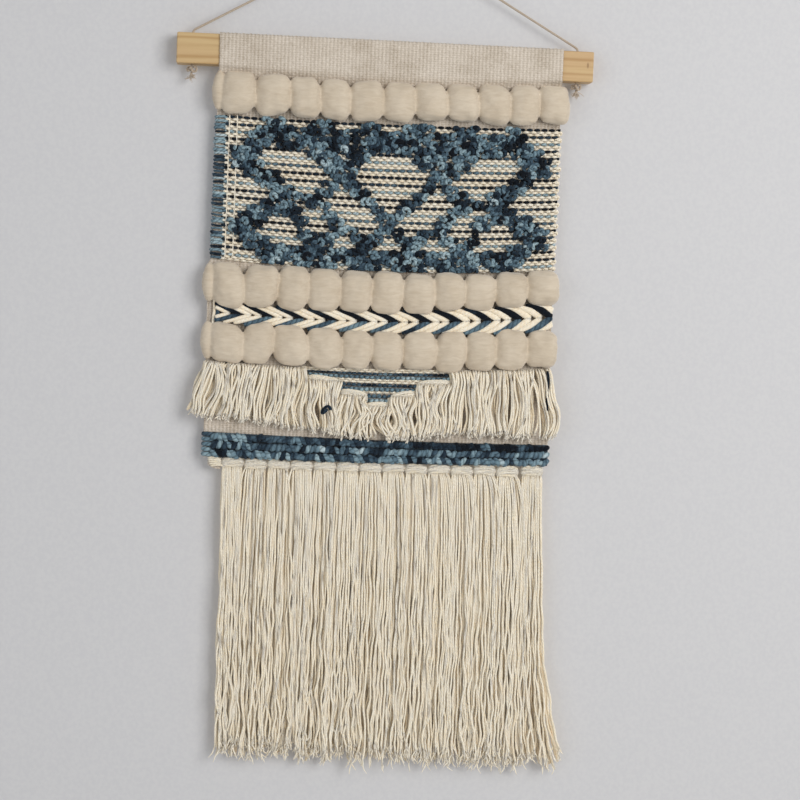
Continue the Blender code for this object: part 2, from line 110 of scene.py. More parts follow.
CORD_RADIUS = 1.2 * MM
CORD_STEP = 7.5 * MM
CORD_ROUTE = [
    (0.19700, -0.11140), (0.19670, -0.10969), (0.19583, -0.10819), (0.19445, -0.10704),
    (0.18000, -0.09893), (0.15000, -0.08209), (0.11000, -0.05965), (0.07000, -0.03720),
    (0.03500, -0.01756), (0.01200, -0.00465), (0.00600, -0.00128), (0.00300, 0.00043),
    (0.00150, 0.00102), (0.00000, 0.00120),
]


# ---------------------------------------------------------------- shader maths

class Value:
    """A number, colour or vector inside a material, so that shader maths reads as plain maths."""

    def __init__(self, look, socket):
        self.look = look
        self.socket = socket

    def maths(self, operation, *others):
        return self.look.maths(operation, self, *others)

    def __add__(self, other):
        return self.maths("ADD", other)

    def __sub__(self, other):
        return self.maths("SUBTRACT", other)

    def __rsub__(self, other):
        return self.look.maths("SUBTRACT", other, self)

    def __mul__(self, other):
        return self.maths("MULTIPLY", other)

    def __pow__(self, other):
        return self.maths("POWER", other)

    __radd__ = __add__
    __rmul__ = __mul__

    def step(self, low, high):
        """0 below low, 1 above high, smooth between them."""
        return self.look.node("ShaderNodeMapRange", {"interpolation_type": "SMOOTHSTEP"},
                              {"Value": self, "From Min": low, "From Max": high})

    def wave(self):
        """A sine with one crest for each whole number, from 0 to 1."""
        return (self * TURN).maths("SINE") * 0.5 + 0.5


class Look:
    """One material on a Principled shader."""

    def __init__(self, name, roughness, sheen=0.0, specular=0.3):
        self.material = bpy.data.materials.new(name)
        self.material.use_nodes = True
        self.tree = self.material.node_tree
        self.shader = self.tree.nodes["Principled BSDF"]
        self.set("Roughness", roughness)
        self.set("Sheen Weight", sheen)
        self.set("Sheen Roughness", 0.5)
        self.set("Specular IOR Level", specular)

    def set(self, socket, value):
        self.plug(self.shader.inputs[socket], value)

    def plug(self, socket, value):
        if isinstance(value, Value):
            self.tree.links.new(value.socket, socket)
        else:
            socket.default_value = value

    def node(self, kind, settings=None, inputs=None, output=0):
        made = self.tree.nodes.new(kind)
        for name, value in (settings or {}).items():
            if name == "stops":
                ramp = made.color_ramp
                while len(ramp.elements) < len(value):
                    ramp.elements.new(0.5)
                for element, (position, colour) in zip(ramp.elements, value):
                    element.position = position
                    element.color = (*colour, 1)
            else:
                setattr(made, name, value)
        for name, value in (inputs or {}).items():
            self.plug(made.inputs[name], value)
        return Value(self, made.outputs[output])

    def maths(self, operation, *values):
        return self.node("ShaderNodeMath", {"operation": operation}, dict(enumerate(values)))

    def mix(self, factor, first, second):
        """Goes from the first colour to the second."""
        first, second = ((*c, 1) if isinstance(c, tuple) else c for c in (first, second))
        return self.node("ShaderNodeMix", {"data_type": "RGBA"}, {0: factor, 6: first, 7: second}, output=2)

    def ramp(self, value, stops):
        return self.node("ShaderNodeValToRGB", {"stops": stops}, {0: value})

    def place(self):
        return self.node("ShaderNodeTexCoord", output="Object")

    def stretched(self, scale, turn=(0, 0, 0)):
        """The place on the object, stretched by scale and turned, for a pattern to read."""
        return self.node("ShaderNodeMapping", {}, {"Vector": self.place(), "Scale": scale, "Rotation": turn})

    def split(self, vector):
        made = self.tree.nodes.new("ShaderNodeSeparateXYZ")
        self.plug(made.inputs[0], vector)
        return [Value(self, out) for out in made.outputs]

    def noise(self, vector, scale, detail=2.0, roughness=0.5, distortion=0.0):
        return self.node("ShaderNodeTexNoise", {}, {"Vector": vector, "Scale": scale, "Detail": detail,
                                                    "Roughness": roughness, "Distortion": distortion})

    def noise_along(self, value, scale, detail=1.0):
        return self.node("ShaderNodeTexNoise", {"noise_dimensions": "1D"},
                         {"W": value, "Scale": scale, "Detail": detail})

    def yarn(self):
        """How far along its yarn a point is in metres, and how far round it from 0 to 1."""
        return self.split(self.node("ShaderNodeUVMap", {"uv_map": "UVMap"}))[:2]

    def tint(self):
        return self.node("ShaderNodeAttribute", {"attribute_name": "tint"}, output="Fac")

    def bump(self, height, distance, strength=1.0, under=None):
        inputs = {"Height": height, "Distance": distance, "Strength": strength}
        if under is not None:
            inputs["Normal"] = under
        return self.node("ShaderNodeBump", {}, inputs)


def dye(red, green, blue):
    """A colour from the usual 0 to 255 scale."""
    return tuple((c / 255 / 12.92) if c <= 10 else ((c / 255 + 0.055) / 1.055) ** 2.4
                 for c in (red, green, blue))


COTTON_TWIST = 4.2 * MM         # along a yarn, from one turn of its plies to the next
BLUE_TWIST = 5.5 * MM


def ply_bump(look, twist, depth, fuzz):
    """The slanted ridges of a two-ply yarn, with fine fibres over them."""
    along, around = look.yarn()
    ridges = (around * 2 + along * (1 / twist)).wave()
    fibres = look.noise(look.place(), 1400, detail=2)
    return look.bump(fibres, fuzz, 0.6, under=look.bump(ridges, depth))


def cotton_look():
    """Natural cotton yarn of two plies: a little translucent, with painted shade in its ply grooves and on
    its deeper strands.
    """
    look = Look("cotton_yarn", 0.92, sheen=0.2, specular=0.2)
    look.set("Subsurface Weight", 0.6)
    look.set("Subsurface Radius", (1.0, 0.98, 0.95))
    look.set("Subsurface Scale", 2.0 * MM)
    along, around = look.yarn()
    fibres = look.noise(look.place(), 700, detail=3)
    slubs = look.noise_along(along, 60)
    # Slubs and fibres give the yarn's own tone. The per-strand value adds random tone and, on the back
    # strands of tassels and fringe, painted shade.
    darkening = look.tint() * 0.35 + slubs.step(0.35, 0.75) * 0.2 + fibres.step(0.35, 0.75) * 0.25
    # Painted shade in the grooves between the plies.
    groove_shade = 1 - (around * 2 + along * (1 / COTTON_TWIST)).wave()
    darkening += groove_shade.step(0.6, 1.0) * 0.15
    look.set("Base Color", look.mix(darkening, dye(250, 241, 224), dye(224, 203, 166)))
    look.set("Normal", ply_bump(look, COTTON_TWIST, 0.16 * MM, fuzz=0.15 * MM))
    return look.material


def blue_look():
    """Hand-dyed blue yarn: its shade runs from near black to pale along the yarn, with painted shade in its
    ply grooves.
    """
    look = Look("variegated_blue_yarn", 0.88, sheen=0.08, specular=0.15)
    along, around = look.yarn()
    runs = look.noise_along(along, 22, detail=2)
    flecks = look.noise(look.place(), 380, detail=3, roughness=0.65)
    # The per-strand value adds random tone and, on the pile loops, painted light: loops that stand further
    # out come paler.
    place = runs * 0.55 + flecks * 0.22 + look.tint() * 0.34
    colour = look.ramp(place, [
        (0.33, dye(10, 17, 26)), (0.43, dye(38, 54, 68)), (0.52, dye(74, 96, 111)),
        (0.62, dye(112, 138, 151)), (0.75, dye(156, 180, 188)), (0.90, dye(204, 220, 225)),
    ])
    # Painted shade in the grooves between the plies.
    groove_shade = 1 - (around * 2 + along * (1 / BLUE_TWIST)).wave()
    look.set("Base Color", look.mix(groove_shade.step(0.55, 1.0) * 0.45, colour, dye(10, 15, 22)))
    look.set("Normal", ply_bump(look, BLUE_TWIST, 0.55 * MM, fuzz=0.45 * MM))
    return look.material


def weave_look():
    """Cotton cloth: thread by thread colour with painted shade in the gaps between threads, and the ribs
    already in the mesh.
    """
    look = Look("plain_weave", 0.94, sheen=0.2)
    x, _, z = look.split(look.place())
    threads = (x * (1 / WARP_PITCH)).wave()
    picks = (z * (1 / WEFT_PITCH)).wave()
    patches = look.noise(look.place(), 45, detail=3)
    fibres = look.noise(look.place(), 900, detail=3)
    # Painted shade in the gaps between the warps and between the picks.
    gaps = (1 - threads) * 0.34 + (1 - picks) * 0.16
    darkening = gaps + patches.step(0.35, 0.7) * 0.2 + fibres.step(0.4, 0.7) * 0.3
    look.set("Base Color", look.mix(darkening, dye(228, 218, 205), dye(152, 136, 114)))
    look.set("Normal", look.bump(fibres, 0.5 * MM, 0.7, under=look.bump(picks * threads, 0.4 * MM, 0.6)))
    return look.material


def roving_look():
    """Wool roving: soft strands combed one way, hairs across them, and cloudy shade."""
    look = Look("wool_roving", 0.95, sheen=0.4)
    combed = look.stretched((22, 60, 95), (0, 0.35, 0))
    strands = look.noise(combed, 2.6, detail=5, roughness=0.6, distortion=0.9)
    finer = look.stretched((110, 400, 1100), (0, -0.3, 0))
    hairs = look.noise(finer, 1.0, detail=3, roughness=0.6, distortion=0.6)
    cloud = look.noise(look.place(), 40, detail=2)
    darkening = strands.step(0.3, 0.75) * 0.24 + hairs.step(0.35, 0.75) * 0.14 + cloud.step(0.3, 0.8) * 0.24
    look.set("Base Color", look.mix(darkening, dye(215, 202, 182), dye(174, 155, 128)))
    look.set("Normal", look.bump(hairs, 0.4 * MM, 0.6, under=look.bump(strands, 1.0 * MM, 0.3)))
    return look.material


def pine_look():
    """Planed pine: rings cut lengthwise on the faces and across on the ends, and one small dark knot."""
    look = Look("sanded_pine", 0.55, specular=0.4)
    warp = look.noise(look.stretched((2.2, 24, 24)), 1.6, detail=3, roughness=0.55)
    x, y, z = look.split(look.place())
    depth = z + y * 0.8 + warp * 0.020
    rings = (depth * 118).wave() ** 3.0 * look.noise_along(depth, 90).step(0.2, 0.6)
    fine = look.noise(look.stretched((9, 420, 420)), 1.0, detail=4, roughness=0.7)
    pores = look.noise(look.stretched((30, 1500, 1500)), 1.0, detail=2)
    rose = look.noise(look.stretched((3, 40, 40)), 1.0, detail=2)
    wood = look.mix(rose.step(0.35, 0.7), dye(202, 174, 127), dye(196, 161, 119))
    wood = look.mix(rings * 0.7, wood, dye(166, 128, 78))
    wood = look.mix(fine.step(0.45, 0.75) * 0.4, wood, dye(168, 130, 84))
    dx, dz = x - (BATTEN_HIGH.x - 6 * MM), (z - (BATTEN_HIGH.z - 14 * MM)) * 0.4
    mark = 1 - (dx * dx + dz * dz).maths("SQRT").step(0.5 * MM, 1.6 * MM)
    look.set("Base Color", look.mix(mark * 0.6, wood, dye(120, 84, 48)))
    look.set("Roughness", fine * 0.25 + 0.42)
    look.set("Normal", look.bump(pores, 0.12 * MM, 0.5, under=look.bump(rings, 0.15 * MM, 0.5)))
    return look.material


def cord_look():
    """Unbleached cord of three thin plies, with painted grey-brown shade in spiral grooves along each ply."""
    look = Look("twisted_cord", 0.9, sheen=0.2)
    along, around = look.yarn()
    fibres = look.noise(look.place(), 1600, detail=3)
    # Fibre flecks are the cord's own tone. The spiral stripes paint shade into the twist of each ply.
    darkening = fibres.step(0.35, 0.7) * 0.5 + (along * (1 / 0.0011) + around * 3).wave() * 0.25
    look.set("Base Color", look.mix(darkening, dye(200, 186, 168), dye(150, 132, 112)))
    look.set("Normal", look.bump(fibres, 0.2 * MM, 0.7))
    return look.material


def wall_look():
    """Matt paint. Seen from the room's side only and casting no shadow, so that the hanging's back shows."""
    look = Look("wall_paint", 0.9, specular=0.15)
    stipple = look.noise(look.place(), 260, detail=3)
    look.set("Base Color", look.mix(stipple.step(0.3, 0.7), dye(209, 209, 210), dye(205, 205, 207)))
    look.set("Normal", look.bump(stipple, 0.1 * MM, 0.3))
    behind = look.node("ShaderNodeNewGeometry", output="Backfacing")
    shading = look.node("ShaderNodeLightPath", output="Is Shadow Ray")
    clear = look.node("ShaderNodeBsdfTransparent")
    paint = Value(look, look.shader.outputs[0])
    shown = look.node("ShaderNodeMixShader", {}, {0: behind.maths("MAXIMUM", shading), 1: paint, 2: clear})
    look.plug(look.tree.nodes["Material Output"].inputs["Surface"], shown)
    return look.material


def floor_look():
    """Pale, faintly mottled floor paint."""
    look = Look("floor_paint", 0.8, specular=0.2)
    grain = look.noise(look.place(), 30, detail=4)
    look.set("Base Color", look.mix(grain.step(0.3, 0.7), dye(206, 205, 203), dye(200, 199, 197)))
    return look.material


COTTON = cotton_look()
BLUE = blue_look()
WEAVE = weave_look()
ROVING = roving_look()
PINE = pine_look()
CORD = cord_look()


# ---------------------------------------------------------------- how the cloth hangs

# At each of these heights: how far the cloth rises above level at its left edge, middle and right edge, in
# millimetres, and how much wider than its top it lies to each side, in thousandths.
ROW_HEIGHTS = [-0.560, -0.5405, -0.5193, -0.4780, -0.4660, -0.4540, -0.4481, -0.4013, -0.3868,
               -0.3396, -0.3380, -0.1963, -0.1494, -0.140]
LIFT_LEFT = [0, -1, 4, 4, 10, 10, 4, 3, 1, 1, 1, 5, 5, 0]
LIFT_MIDDLE = [0, -2, 1, 0.5, 2.5, 2.2, 1, -2, -2, -4, -7, 3, -0.5, 0]
LIFT_RIGHT = [0, 1, 2, 7, 10, 10, 9, 5, 14, 4, 1, 6, 5, 0]
SPREAD_LEFT = [19, 19, 19, 20, 21, 22, 22, 24, 24, 24, 7, 6, 2, 0]
SPREAD_RIGHT = [19, 19, 19, 15, 12, 12, 10, 7, 7, 7, 4, 6, 2, 0]


def settle(mesh):
    """Hand weaving never runs dead level: lets each row sag or rise, and the cloth spread below its top."""
    place = np.zeros(len(mesh.vertices) * 3, np.float32)
    mesh.vertices.foreach_get("co", place)
    x, _, z = place.reshape(-1, 3).T
    across = np.clip((x - PANEL_X) / (PANEL_WIDTH / 2), -1.1, 1.1)
    left, middle, right = (np.interp(z, ROW_HEIGHTS, lift) for lift in (LIFT_LEFT, LIFT_MIDDLE, LIFT_RIGHT))
    place[2::3] += (middle + across * (right - left) / 2 + across ** 2 * ((left + right) / 2 - middle)) * MM
    spread = np.where(x < PANEL_X, np.interp(z, ROW_HEIGHTS, SPREAD_LEFT),
                      np.interp(z, ROW_HEIGHTS, SPREAD_RIGHT))
    place[0::3] += (x - PANEL_X) * spread * 0.001
    mesh.vertices.foreach_set("co", place)
    mesh.update()


# ---------------------------------------------------------------- making pieces

def piece(name, mesh, look, body=None):
    """One finished piece at the origin, with its look, riding on its body."""
    if body not in ("cord", "batten"):
        settle(mesh)
    made = bpy.data.objects.new(name, mesh)
    bpy.context.scene.collection.objects.link(made)
    mesh.materials.clear()
    mesh.materials.append(look)
    if body:
        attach(made, body)
    return made


def evaluated(made):
    """The mesh that an object's curve or modifiers make."""
    bpy.context.view_layer.update()
    return bpy.data.meshes.new_from_object(made.evaluated_get(bpy.context.evaluated_depsgraph_get()))


def mesh_from(name, bm):
    """A mesh that takes over what is in bm."""
    mesh = bpy.data.meshes.new(name)
    bm.to_mesh(mesh)
    bm.free()
    return mesh


def scratch_object(name, data):
    made = bpy.data.objects.new(name, data)
    bpy.context.scene.collection.objects.link(made)
    return made


class Strand:
    """One yarn: the line it follows, its radius along it, its tone (on tassels and fringe also painted shade,
    on pile loops painted light, both by depth), and how far along its ball it starts.
    """

    def __init__(self, line, radius, tint=0.0, start=0.0):
        self.line = np.asarray(line, float)
        self.radius = np.broadcast_to(radius, len(self.line))
        self.tint = tint
        self.start = start
        self.length = float(np.linalg.norm(np.diff(self.line, axis=0), axis=1).sum())


def spin(name, strands, look, body=None, sides=6):
    """Many strands as one piece of round yarn, with metres along each yarn and the way round it as its UV."""
    data = bpy.data.curves.new(name, "CURVE")
    data.dimensions = "3D"
    data.bevel_depth = 1.0          # so that a point's radius is in metres
    data.bevel_resolution = sides // 2 - 2
    for strand in strands:
        spline = data.splines.new("POLY")
        spline.points.add(len(strand.line) - 1)
        spline.points.foreach_set("co", np.c_[strand.line, np.ones(len(strand.line))].ravel())
        spline.points.foreach_set("radius", strand.radius.astype(np.float32))
    guide = scratch_object(name + "_guide", data)
    mesh = evaluated(guide)
    bpy.data.objects.remove(guide)
    owner = np.repeat(np.arange(len(strands)), [len(s.line) * sides for s in strands])
    corners = np.zeros(len(mesh.loops), np.int32)
    mesh.loops.foreach_get("vertex_index", corners)
    uv = np.zeros(len(corners) * 2, np.float32)
    mesh.uv_layers[0].data.foreach_get("uv", uv)
    uv = uv.reshape(-1, 2)
    lengths, starts = (np.array([getattr(s, word) for s in strands]) for word in ("length", "start"))
    uv[:, 0] = uv[:, 0] * lengths[owner[corners]] + starts[owner[corners]]
    mesh.uv_layers[0].data.foreach_set("uv", uv.ravel())
    # Each strand's tone, with painted shade by depth on tassels and fringe and painted light by depth on pile
    # loops.
    tint = mesh.attributes.new("tint", "FLOAT", "POINT")
    tint.data.foreach_set("value", np.array([s.tint for s in strands], np.float32)[owner])
    bm = bmesh.new()
    bm.from_mesh(mesh)
    bmesh.ops.holes_fill(bm, edges=[e for e in bm.edges if e.is_boundary], sides=sides)
    bmesh.ops.recalc_face_normals(bm, faces=bm.faces)
    bm.to_mesh(mesh)
    bm.free()
    mesh.shade_smooth()
    return piece(name, mesh, look, body)


def spin_cotton(name, strands, body="panel", sides=6):
    return spin(name, strands, COTTON, body, sides)


def spin_blue(name, strands, body="panel", sides=6):
    return spin(name, strands, BLUE, body, sides)


def bend_at(made, body, above, below):
    """Bakes a piece's place into its mesh; it bends nothing, and body, above and below are not used."""
    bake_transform(made)


def tapered(count, radius, ends=0.35, reach=2):
    """A radius that narrows over the first and last few points."""
    from_end = np.minimum(np.arange(count), np.arange(count)[::-1])
    return radius * (ends + (1 - ends) * np.clip(from_end / reach, 0, 1))


def run_along(path):
    """The distance along a path to each of its places."""
    return np.r_[0, np.cumsum(np.linalg.norm(np.diff(path, axis=0), axis=1))]


def spaced(path, run, count):
    """So many places at even distances along a path."""
    where = np.linspace(0, run[-1], count)
    return np.stack([np.interp(where, run, path[:, k]) for k in range(3)], 1)


def twisted(path, turn_length, offset, count):
    """The lines of strands that wind round a path in the X-Z plane, as the plies of a cord do."""
    path = np.asarray(path, float)
    run = run_along(path)
    ahead = np.gradient(path, axis=0)
    ahead /= np.linalg.norm(ahead, axis=1)[:, None]
    front = np.array((0.0, 1.0, 0.0)) - ahead * ahead[:, 1:2]
    front /= np.linalg.norm(front, axis=1)[:, None]
    up = np.cross(ahead, front)
    lines = []
    for k in range(count):
        angle = TURN * (run / turn_length + k / count)
        lines.append(path + offset * (np.cos(angle)[:, None] * front + np.sin(angle)[:, None] * up))
    return lines


def resampled(path, step):
    """The same path with its places about one step apart."""
    path = np.asarray(path, float)
    run = run_along(path)
    return spaced(path, run, max(2, int(round(run[-1] / step)) + 1))


# ---------------------------------------------------------------- camera

def set_camera():
    """Looks at the cloth a little from the left and from above, held with a slight roll."""
    across, down, roll = math.radians(4.10), math.radians(3.36), math.radians(2.30)
    distance, aim = 2.0, Vector((0.0282, 0, -0.4762))
    ahead = Vector((math.sin(across) * math.cos(down), math.cos(across) * math.cos(down), -math.sin(down)))
    right = Vector((math.cos(across), -math.sin(across), 0))
    up = right.cross(ahead)
    right, up = (right * math.cos(roll) + up * math.sin(roll), up * math.cos(roll) - right * math.sin(roll))
    turn = Matrix((right, up, -ahead)).transposed().to_4x4()
    data = bpy.data.cameras.new("camera")
    data.lens = 87.09
    made = scratch_object("camera", data)
    made.matrix_world = Matrix.Translation(aim - ahead * distance) @ turn
    bpy.context.scene.camera = made


# ---------------------------------------------------------------- hanging cord

def smooth_route(corners, step):
    """Places on a smooth curve through the corners, evenly spaced between each two of them."""
    corners = [Vector(c) for c in corners]
    line = []
    for i in range(len(corners) - 1):
        before, here = corners[max(i - 1, 0)], corners[i]
        there, after = corners[i + 1], corners[min(i + 2, len(corners) - 1)]
        span = (there - here).length
        lead = (there - before).normalized() * span if i else (there - here)
        trail = (after - here).normalized() * span if i + 2 < len(corners) else (there - here)
        pieces = max(1, round(span / step))
        for k in range(pieces):
            t = k / pieces
            line.append(here * (2 * t**3 - 3 * t**2 + 1) + lead * (t**3 - 2 * t**2 + t)
                        + there * (3 * t**2 - 2 * t**3) + trail * (t**3 - t**2))
    return line + [corners[-1]]


def cord_plies(path, look_start=0.0):
    """The cord's three plies, wound round a path."""
    lines = twisted(resampled(path, 0.9 * MM), 6.5 * MM, CORD_RADIUS * 0.52, 3)
    return [Strand(line, CORD_RADIUS * 0.56, 0.3 * k, look_start + k) for k, line in enumerate(lines)]


def make_cord_knot(side, name):
    """An overhand knot drawn up against the batten's underside, and below it a short frayed tail."""
    low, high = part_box(name)
    middle = Vector(((low.x + high.x) / 2, 0, high.z))
    chance = random.Random(name)
    reach = 2.4 * MM
    turns = []
    for k in range(61):
        t = TURN * (k / 60 * 0.94 + 0.03)
        turns.append((middle.x + reach * (math.sin(t) + 1.2 * math.sin(2 * t)),
                      reach * (math.cos(t) - 1.2 * math.cos(2 * t)) * 0.7,
                      middle.z - 4.6 * MM + 2.3 * MM * math.sin(3 * t) + 0.6 * MM * math.cos(t)))
    neck = [(middle.x, 0, middle.z - k * 0.6 * MM) for k in range(4)]
    tail = [(middle.x + side * k * 0.2 * MM, -0.4 * MM * k / 6, middle.z - 7.5 * MM - 0.8 * k * MM)
            for k in range(6)]
    strands = cord_plies(neck) + cord_plies(turns, 0.1) + cord_plies(tail, 0.2)
    for k in range(26):
        start = Vector(tail[chance.randrange(2, 6)])
        start += Vector((chance.uniform(-1, 1), chance.uniform(-1, 1), 0)) * MM
        lean = Vector((chance.uniform(-1.0, 1.0), chance.uniform(-0.7, 0.5), chance.uniform(-1, -0.3)))
        length, curl = chance.uniform(3.5, 8) * MM, chance.uniform(0.5, 1.6) * MM
        line = [start + lean * length * t
                + Vector((math.sin(5 * t + k), math.cos(4 * t + k), math.cos(5 * t + k))) * curl * t
                for t in np.linspace(0, 1, 9)]
        strands.append(Strand(line, tapered(9, 0.34 * MM, 0.4, 3), 0.0, k))
    made = spin(name + "_tied", strands, CORD, "batten")
    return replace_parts(made, name)


def make_cord():
    """The hanging cord, symmetrical about the hook, with its two knots under the batten."""
    half = smooth_route([(x, 0, z) for x, z in CORD_ROUTE], CORD_STEP)
    route = [(-p.x, p.y, p.z) for p in half[:-1]] + [tuple(p) for p in reversed(half)]
    made = spin("twisted_cord", cord_plies(route), CORD, "cord")
    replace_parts(made, "hanging_cord")
    knots = [make_cord_knot(-1, "cord_knot_left"), make_cord_knot(1, "cord_knot_right")]
    ends = [frame["nodes"]["cord_in_hole_left"], frame["nodes"]["cord_in_hole_right"]]
    length = sum(math.dist(a, b) for a, b in zip(route, route[1:]))
    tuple(route[0])
    knots + ends


# ---------------------------------------------------------------- batten and cloth

def finish_cad(name, look):
    """Gives a solid that already has its right shape its material."""
    node = frame["nodes"][name]
    node.data.materials.clear()
    node.data.materials.append(look)


SHEET_COLUMNS = 280
SHEET_THICKNESS = 0.8 * MM
SLEEVE_STEP = 1.12 * MM         # from row to row of the sleeve's mesh, along the cloth


def sheet_mesh(columns, rows):
    """A flat grid, one unit wide and one long, to be laid along the cloth's path."""
    bm = bmesh.new()
    bmesh.ops.create_grid(bm, x_segments=columns, y_segments=rows, size=0.5)
    return bm


def finish_sheet(name, bm, body=None):
    """Gives a laid-out grid its thickness and makes it a piece of plain weave."""
    bmesh.ops.recalc_face_normals(bm, faces=bm.faces)
    shell = scratch_object(name + "_guide", mesh_from(name, bm))
    thicken = shell.modifiers.new("thicken", "SOLIDIFY")
    thicken.thickness = SHEET_THICKNESS
    thicken.offset = 0
    solid = evaluated(shell)
    bpy.data.objects.remove(shell)
    bm = bmesh.new()
    bm.from_mesh(solid)
    bmesh.ops.recalc_face_normals(bm, faces=bm.faces)
    bm.to_mesh(solid)
    bm.free()
    solid.shade_smooth()
    return piece(name, solid, WEAVE, body)


def rib(x, run, upright=0.5):
    """How far the plain weave stands up, 0 to 1: upright ribs, and each weft over every second warp."""
    warp = math.cos(math.pi * x / WARP_PITCH)
    weft = math.cos(math.pi * run / WEFT_PITCH)
    return upright * warp * warp + (1 - upright) * (0.5 + 0.5 * warp * weft)


def sleeve_path():
    """Round the batten from the seam: up its back, over it, down its front and in behind the top roving."""
    corner, out = 2.2 * MM, SLEEVE_HIGH.y - 0.9 * MM
    top, bottom = SLEEVE_HIGH.z - 0.9 * MM, SLEEVE_LOW.z + 2.6 * MM
    seam = PANEL_TOP + 1.6 * MM

    def bend(y, z, start):
        angles = [start - k * math.pi / 8 for k in range(5)]
        return [(y + corner * math.cos(angle), z + corner * math.sin(angle)) for angle in angles]

    path = [(0.9 * MM, seam)] + [(y, z) for y, z in reversed(bend(out - corner, bottom + corner, 0.0))][:4]
    path += [(out, bottom + corner)]
    path += list(reversed(bend(out - corner, top - corner, math.pi / 2)))
    path += list(reversed(bend(-out + corner, top - corner, math.pi)))
    path += [(-out, bottom + corner), (-out + 0.1 * MM, bottom - 1 * MM), (-out + 1.6 * MM, seam - 1 * MM),
             (-out + 4.6 * MM, seam - 4.5 * MM), (-2.8 * MM, seam - 9 * MM), (-2.4 * MM, seam - 14 * MM)]
    return np.array([(0, y, z) for y, z in path])


def make_sleeve():
    """The rod pocket: one cloth round the batten, laid row by row along its path."""
    path = resampled(sleeve_path(), SLEEVE_STEP)
    rows = len(path) - 1
    ahead = np.gradient(path, axis=0)
    ahead /= np.linalg.norm(ahead, axis=1)[:, None]
    out = np.stack([np.zeros(len(path)), -ahead[:, 2], ahead[:, 1]], 1)
    if out[len(out) // 2, 2] < 0:
        out = -out
    bm = sheet_mesh(SHEET_COLUMNS, rows)
    for v in bm.verts:
        x = PANEL_X + v.co.x * PANEL_WIDTH
        k = int(round((v.co.y + 0.5) * rows))
        drift = noise.noise(Vector((x * 40, k * 0.03, 3))) * 0.5 * MM
        stand = 1.25 * MM * rib(x - PANEL_LEFT, k * SLEEVE_STEP)
        stand += 0.3 * MM * noise.noise(Vector((x * 300, k * 0.4, 1)))
        place = path[k] + out[k] * stand
        edge = 1 if abs(v.co.x) > 0.4999 else 0
        v.co = (x + drift + edge * 0.6 * MM * noise.noise(Vector((0, k * 0.5, x))), place[1], place[2])
    made = finish_sheet("rod_sleeve_cloth", bm)
    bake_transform(made)
    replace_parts(made, "rod_sleeve", "sleeve_seam")


def panel_rows():
    """The cloth's rows from its top edge down: fine where plain weave shows, wide where yarns cover it."""
    rows = []
    z = PANEL_TOP
    plain_top, plain_bottom = LOWER_ROVING_BOTTOM + 4 * MM, BAND_TOP + 1 * MM
    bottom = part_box("blue_band_lower")[0].z - 0.4 * MM
    while z > bottom + 0.5 * MM:
        rows.append(z)
        z -= WEFT_PITCH / 2 if plain_bottom < z < plain_top else 5 * MM
    return rows + [bottom]


def make_panel():
    """The woven cloth, ribbed where it is left plain and nearly smooth under the other yarns."""
    rows = panel_rows()
    bm = sheet_mesh(SHEET_COLUMNS, len(rows) - 1)
    for v in bm.verts:
        x = PANEL_X + v.co.x * PANEL_WIDTH
        z = rows[int(round((0.5 - v.co.y) * (len(rows) - 1)))]
        plain = LOWER_ROVING_BOTTOM + 4 * MM > z > BAND_TOP
        lift = (1.8 * MM * rib(x - PANEL_LEFT, z, 0.2) if plain
                else 0.5 * MM * math.cos(TURN * (x - PANEL_LEFT) / WARP_PITCH))
        lift += 0.3 * MM * noise.noise(Vector((x * 250, 0, z * 250)))
        v.co = (x + 0.5 * MM * noise.noise(Vector((x * 30, 2, z * 60))), 0.4 * MM - lift, z)
    made = finish_sheet("panel_cloth", bm, "panel")
    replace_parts(made, "woven_panel")
    return made


def make_tab():
    """The corner of the cloth beside the first knot, with a few turns of cotton over it."""
    low = Vector((PANEL_LEFT + 5.0 * MM, 0, TAB_BOTTOM + 2.5 * MM))
    high = Vector((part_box("tassel_knot_01")[0].x - 0.6 * MM, 0, BAND_BOTTOM - 0.6 * MM))
    bm = sheet_mesh(20, 16)
    for v in bm.verts:
        across, up = v.co.x + 0.5, v.co.y + 0.5
        x, z = low.x + (high.x - low.x) * across, low.z + (high.z - low.z) * up
        ragged = (0.8 * MM * noise.noise(Vector((x * 500, 0, 4))) + 5 * MM * (1 - across) ** 3) * (1 - up)
        v.co = (x, 0.3 * MM - 1.3 * MM * rib(x - PANEL_LEFT, z), z + ragged)
    wraps = []
    for k in range(5):
        z = high.z - (1.0 + 2.05 * k) * MM
        start = low.x + (0.4 + 0.35 * k * k * 0.5) * MM
        line = [(start + (high.x - low.x) * s, -(2.6 + 1.6 * math.sin(math.pi * s)) * MM,
                 z + 1.2 * MM * math.sin(math.pi * s) + 0.3 * MM * math.sin(5 * s + k))
                for s in np.linspace(0, 0.97, 9)]
        wraps.append(Strand(line, 1.15 * MM, 0.15 * k, k))
    spin_cotton("corner_wraps", wraps)
    return finish_sheet("corner_tab", bm, "panel")


# ---------------------------------------------------------------- woven pattern

def weft_line(z, phase, left, right, swing, middle_y, points_per_bead=5, seed=0, pitch=BEAD_PITCH):
    """A weft that comes forward in a bead over every second warp and goes under the ones between."""
    count = int((right - left) / pitch * points_per_bead)
    xs = np.linspace(left, right, count + 1)
    beat = np.cos(TURN * ((xs - PANEL_LEFT) / pitch + phase))
    broad = np.sign(beat) * np.abs(beat) ** 0.7
    rise = np.array([noise.noise(Vector((x * 60, seed, 0.5))) for x in xs]) * 0.35 * MM
    return np.stack([xs, middle_y - swing * broad, z + rise], 1)


